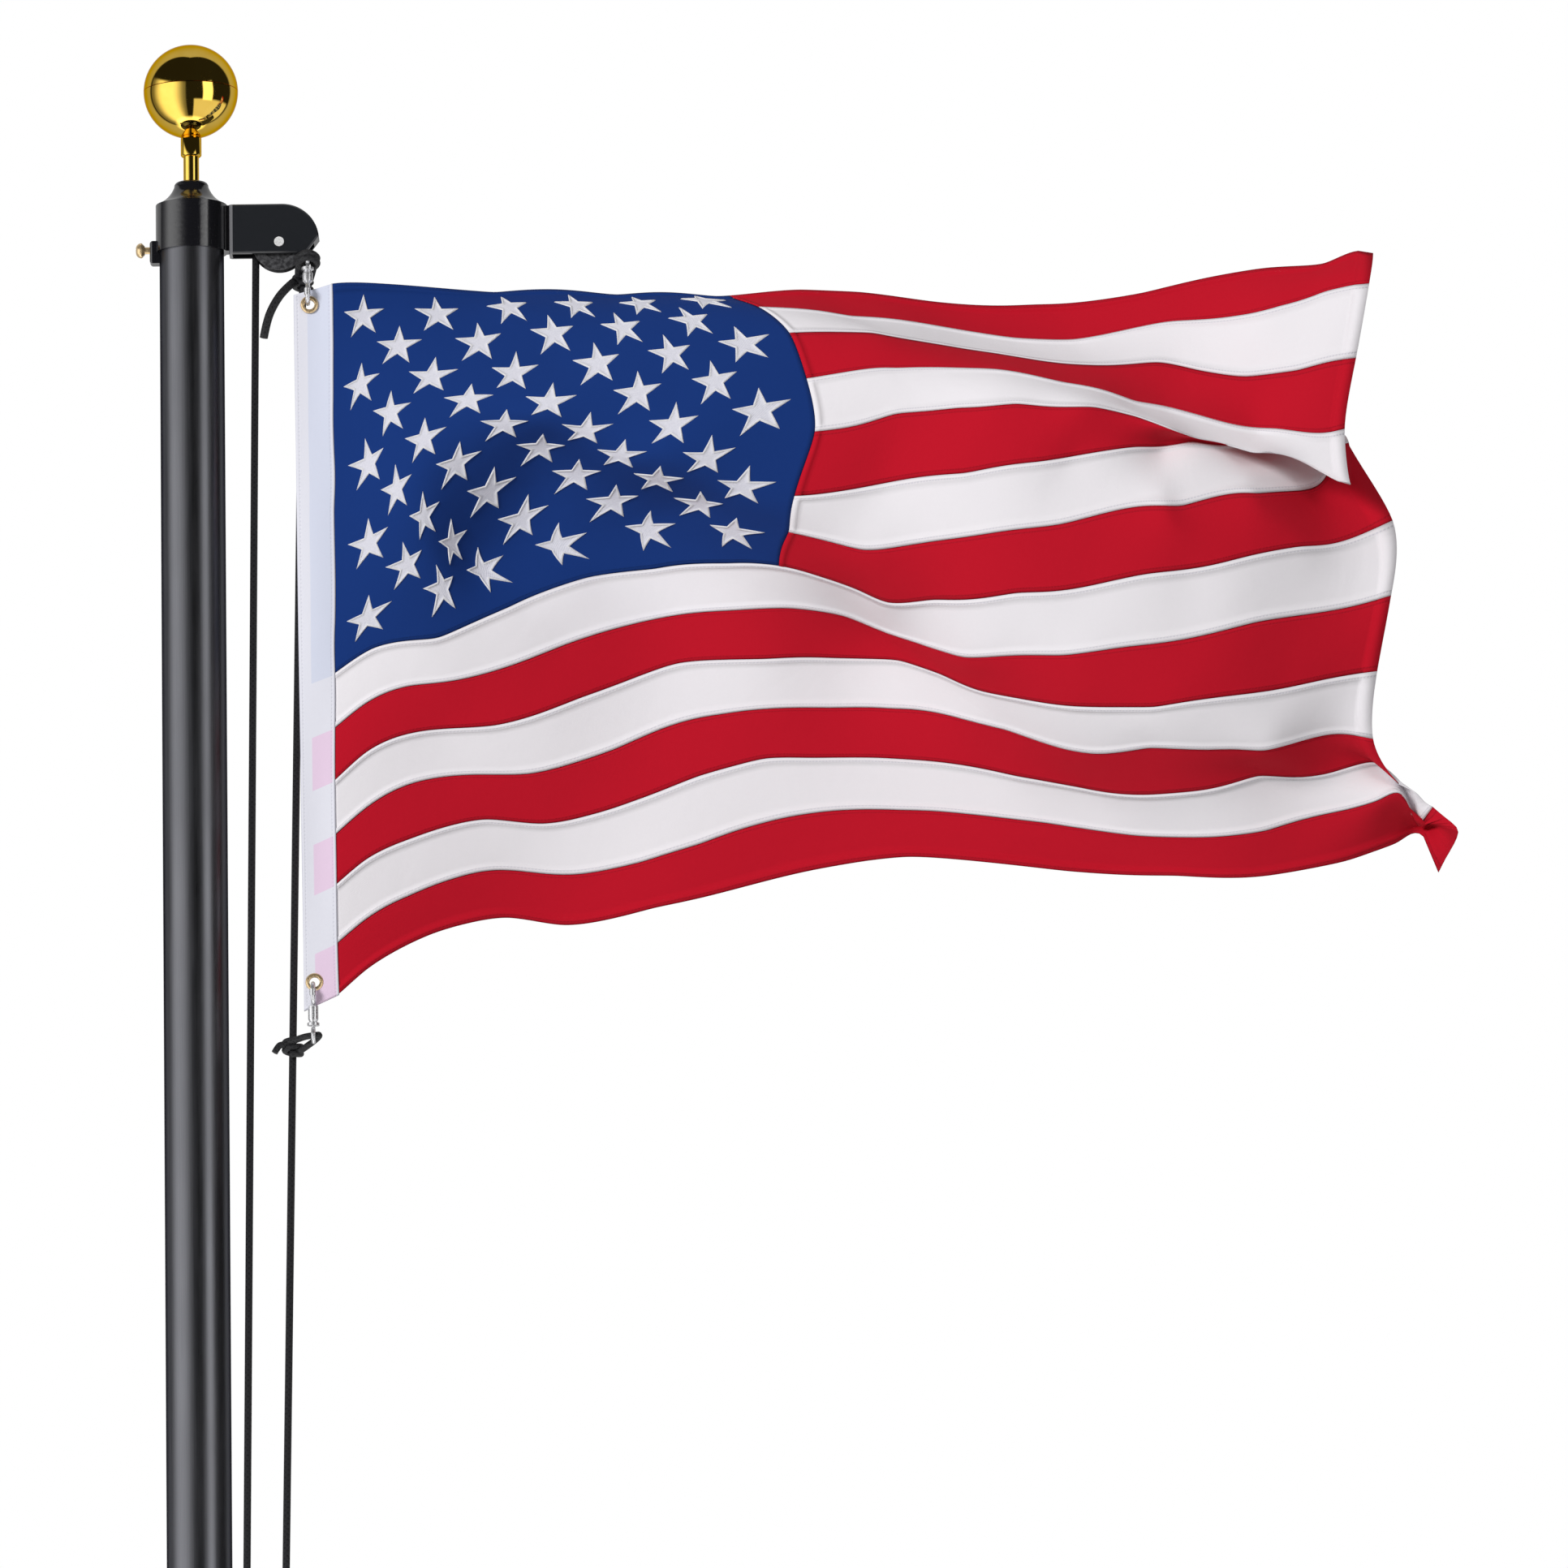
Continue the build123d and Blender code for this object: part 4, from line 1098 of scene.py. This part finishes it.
# Panels: the canton's top is hemmed, white panels are folded at both seams, and the fly is hemmed
canton_builder = bmesh.new()
cloth_panel(
    canton_builder,
    spaced(0.0, canton_fly, column_width, []),
    spaced(0.0, canton_hoist, row_width, [(hem_width, -1)]),
)
sewn_piece(
    "canton_cloth", canton_builder, cloth_blue, "canton", "cloth_blue"
)
for name, first, material, slot in (
    ("red_stripes", 0, cloth_red, "cloth_red"), ("white_stripes", 1, cloth_white, "cloth_white"),
):
    builder = bmesh.new()
    for index in range(first, stripe_count, 2):
        is_short = index < canton_stripes
        start = canton_fly if is_short else 0.0
        folds = [(seam_width, -1), (seam_width, 1)] if first else []
        if index == 0:
            folds = [(hem_width, -1)]
        if index == stripe_count - 1:
            folds = [(hem_width, 1)]
        side_folds = [(fly_hem_width, 1)] + ([(seam_width, -1)] if is_short else [])
        cloth_panel(
            builder,
            spaced(start, flag_fly, column_width, side_folds),
            spaced(index * stripe_width, (index + 1) * stripe_width, row_width, folds),
        )
    sewn_piece(name + "_cloth", builder, material, name, slot)


# Stars: embroidered in white thread on both sides of the blue cloth. A raised satin stitch runs
# round each star, and flatter stitches fill its middle.
star_radius = 0.0198
star_waist = 0.365
star_rings = ((1.0, 0.0004), (0.93, 0.0013), (0.80, 0.0013), (0.74, 0.0007), (0.40, 0.0008))
steps_per_side = 4


def star_material():
    """White thread: satin stitches across the border, and flat slanting ones in the middle, which is
    painted greyer as shade.
    """
    material, tree, shade = new_material("white embroidery")
    place = uv_place(tree)
    outwards, along, _ = split_node(tree, uv_place(tree, "Stitches"))
    border = step_node(tree, outwards, 0.70, 0.76)
    satin = math_node(tree, "SINE", math_node(tree, "MULTIPLY", along, 2 * math.pi / thread_pitch))
    slant = node(
        tree, "ShaderNodeTexWave", {"Vector": place, "Scale": 330.0, "Distortion": 2.0},
        bands_direction="DIAGONAL",
    )
    fuzz = noise_node(tree, place, 700.0, 2.0)
    flat_height = math_node(tree, "ADD", slant.outputs["Fac"], fuzz)
    # Painted shade: the middle is greyer than the border, as if the raised border shaded it.
    middle = blend_node(tree, fuzz, (0.58, 0.58, 0.66, 1.0), (0.76, 0.75, 0.81, 1.0))
    shade(
        Base_Color=blend_node(tree, border, middle, (0.90, 0.89, 0.92, 1.0)), Roughness=0.55,
        Specular_IOR_Level=0.3,
        Normal=bump_node(tree, weighted_sum(tree, flat_height, (border, satin)), 0.6, 0.0002),
    )
    return material


def star_corner(index):
    """Corner of a star's outline about its middle, with one point towards the top edge."""
    angle = math.radians(36.0 * index - 90.0)
    radius = star_radius * (star_waist if index % 2 else 1.0)
    return Vector((radius * math.cos(angle), radius * math.sin(angle), 0.0))


def add_star(builder, layer, centre):
    """Flat star of rings about its middle, with the stitches' places in a UV of its own."""
    count = 10 * steps_per_side
    outline = []
    for step in range(count):
        side, part = divmod(step, steps_per_side)
        outline.append(star_corner(side).lerp(star_corner(side + 1), part / steps_per_side))
    rows = len(star_rings)
    made = bmesh.ops.create_grid(builder, x_segments=count, y_segments=rows, size=0.5)
    for face in {face for vertex in made["verts"] for face in vertex.link_faces}:
        for loop in face.loops:
            row = round((loop.vert.co.y + 0.5) * rows)
            share = star_rings[row][0] if row < rows else 0.0
            loop[layer].uv = (share, (loop.vert.co.x + 0.5) * 10 * star_radius)
    for vertex in made["verts"]:
        row = round((vertex.co.y + 0.5) * rows)
        share, lift = star_rings[row] if row < rows else (0.0, star_rings[-1][1])
        corner = outline[round((vertex.co.x + 0.5) * count) % count]
        vertex.co = centre + corner * share + Vector((0.0, 0.0, lift))


white_thread = star_material()
for side_name, side in (("front", 1), ("back", -1)):
    builder = bmesh.new()
    layer = builder.loops.layers.uv.new("Stitches")
    for row, stars in enumerate(star_rows):
        for column in range(len(stars)):
            add_star(builder, layer, Vector((*star_place(row, column), 0.0)))
    bmesh.ops.remove_doubles(builder, verts=builder.verts, dist=1e-6)
    bmesh.ops.recalc_face_normals(builder, faces=builder.faces)
    if builder.faces[0].normal.z * side < 0:
        bmesh.ops.reverse_faces(builder, faces=builder.faces)
    for vertex in builder.verts:
        vertex.co.z *= side
    lay_on_cloth(builder)
    stars_piece = add_piece(f"stars_{side_name}", builder, white_thread)
    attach(stars_piece, "flag_body")


# Floor round the foot, which keeps the pole's shadow and fades out. Metal and gloss see soft
# windows in a dark studio, cloth gets a plain fill, and the background is white.
floor_builder = bmesh.new()
bmesh.ops.create_grid(floor_builder, x_segments=1, y_segments=1, size=4.0)
floor_material, tree, shade = new_material("pale floor")
from_pole = node(tree, "ShaderNodeVectorMath", {"Vector": object_place(tree)}, operation="LENGTH")
shade(
    Base_Color=(0.86, 0.86, 0.86, 1.0), Roughness=0.9, Specular_IOR_Level=0.1,
    Emission_Color=(1.0, 1.0, 1.0, 1.0), Emission_Strength=0.3,
    Alpha=step_node(tree, from_pole.outputs["Value"], 1.2, 3.8, 1.0, 0.0),
)
floor = add_piece("floor", floor_builder, floor_material, smooth=False)
floor.visible_glossy = False

world = bpy.data.worlds.new("studio")
bpy.context.scene.world = world
world.use_nodes = True
tree = world.node_tree
tree.nodes.clear()
path = node(tree, "ShaderNodeLightPath")
facing = node(
    tree, "ShaderNodeVectorRotate",
    {"Vector": node(tree, "ShaderNodeTexCoord").outputs["Generated"], "Angle": -view_rise},
    rotation_type="X_AXIS",
)
sideways, forward, up = split_node(tree, facing.outputs["Vector"])
# Angles from the camera's side, to the right and upwards
to_right = math_node(tree, "ARCTAN2", sideways, math_node(tree, "MULTIPLY", forward, -1.0))
upwards = math_node(tree, "ARCSINE", up)


def window(left, right, bottom, top, soft):
    """Soft-edged area between four angles."""
    return math_node(
        tree, "MULTIPLY", band_node(tree, to_right, left, right, soft),
        band_node(tree, upwards, bottom, top, 0.1),
    )


studio = weighted_sum(
    tree, 0.02,
    (window(-1.95, -0.14, -1.3, 0.42, 0.08), 0.20),
    (window(-1.85, -0.20, -1.3, 0.44, 0.60), 1.40),
    (window(0.14, 1.95, -1.3, -0.28, 0.08), 0.95),
    (window(0.54, 1.06, -0.40, 0.44, 0.08), 2.0),
    (step_node(tree, math_node(tree, "ABSOLUTE", to_right), 1.95, 2.10), 0.55),
    (step_node(tree, upwards, -1.25, -1.05, 1.0, 0.0), 1.8),
)
seen = math_node(tree, "MAXIMUM", path.outputs["Is Camera Ray"], path.outputs["Is Transmission Ray"])
fill = math_node(tree, "MULTIPLY", path.outputs["Is Diffuse Ray"], 0.29)
strength = weighted_sum(tree, fill, (path.outputs["Is Glossy Ray"], studio))
background = node(tree, "ShaderNodeBackground", {
    "Color": (1.0, 1.0, 1.0, 1.0), "Strength": math_node(tree, "MAXIMUM", strength, seen),
})
node(tree, "ShaderNodeOutputWorld", {"Surface": background.outputs["Background"]})


def soft_lamp(name, place, aim, size, power):
    """Large square lamp that points at a place and that metal doesn't mirror."""
    lamp = bpy.data.lights.new(name, "AREA")
    lamp.size = size
    lamp.energy = power
    holder = bpy.data.objects.new(name, lamp)
    bpy.context.scene.collection.objects.link(holder)
    holder.visible_glossy = False
    holder.matrix_world = Matrix.Translation(place) @ (
        Vector(aim) - Vector(place)
    ).to_track_quat("-Z", "Y").to_matrix().to_4x4()


soft_lamp("left lamp", (-3.2, -4.4, 5.4), (0.4, 0.0, 3.6), 1.8, 285.0)
soft_lamp("right lamp", (4.2, -4.2, 5.0), (0.4, 0.0, 3.6), 1.8, 42.0)
soft_lamp("back lamp", (-1.5, 5.0, 4.8), (0.4, 0.0, 3.2), 2.0, 120.0)
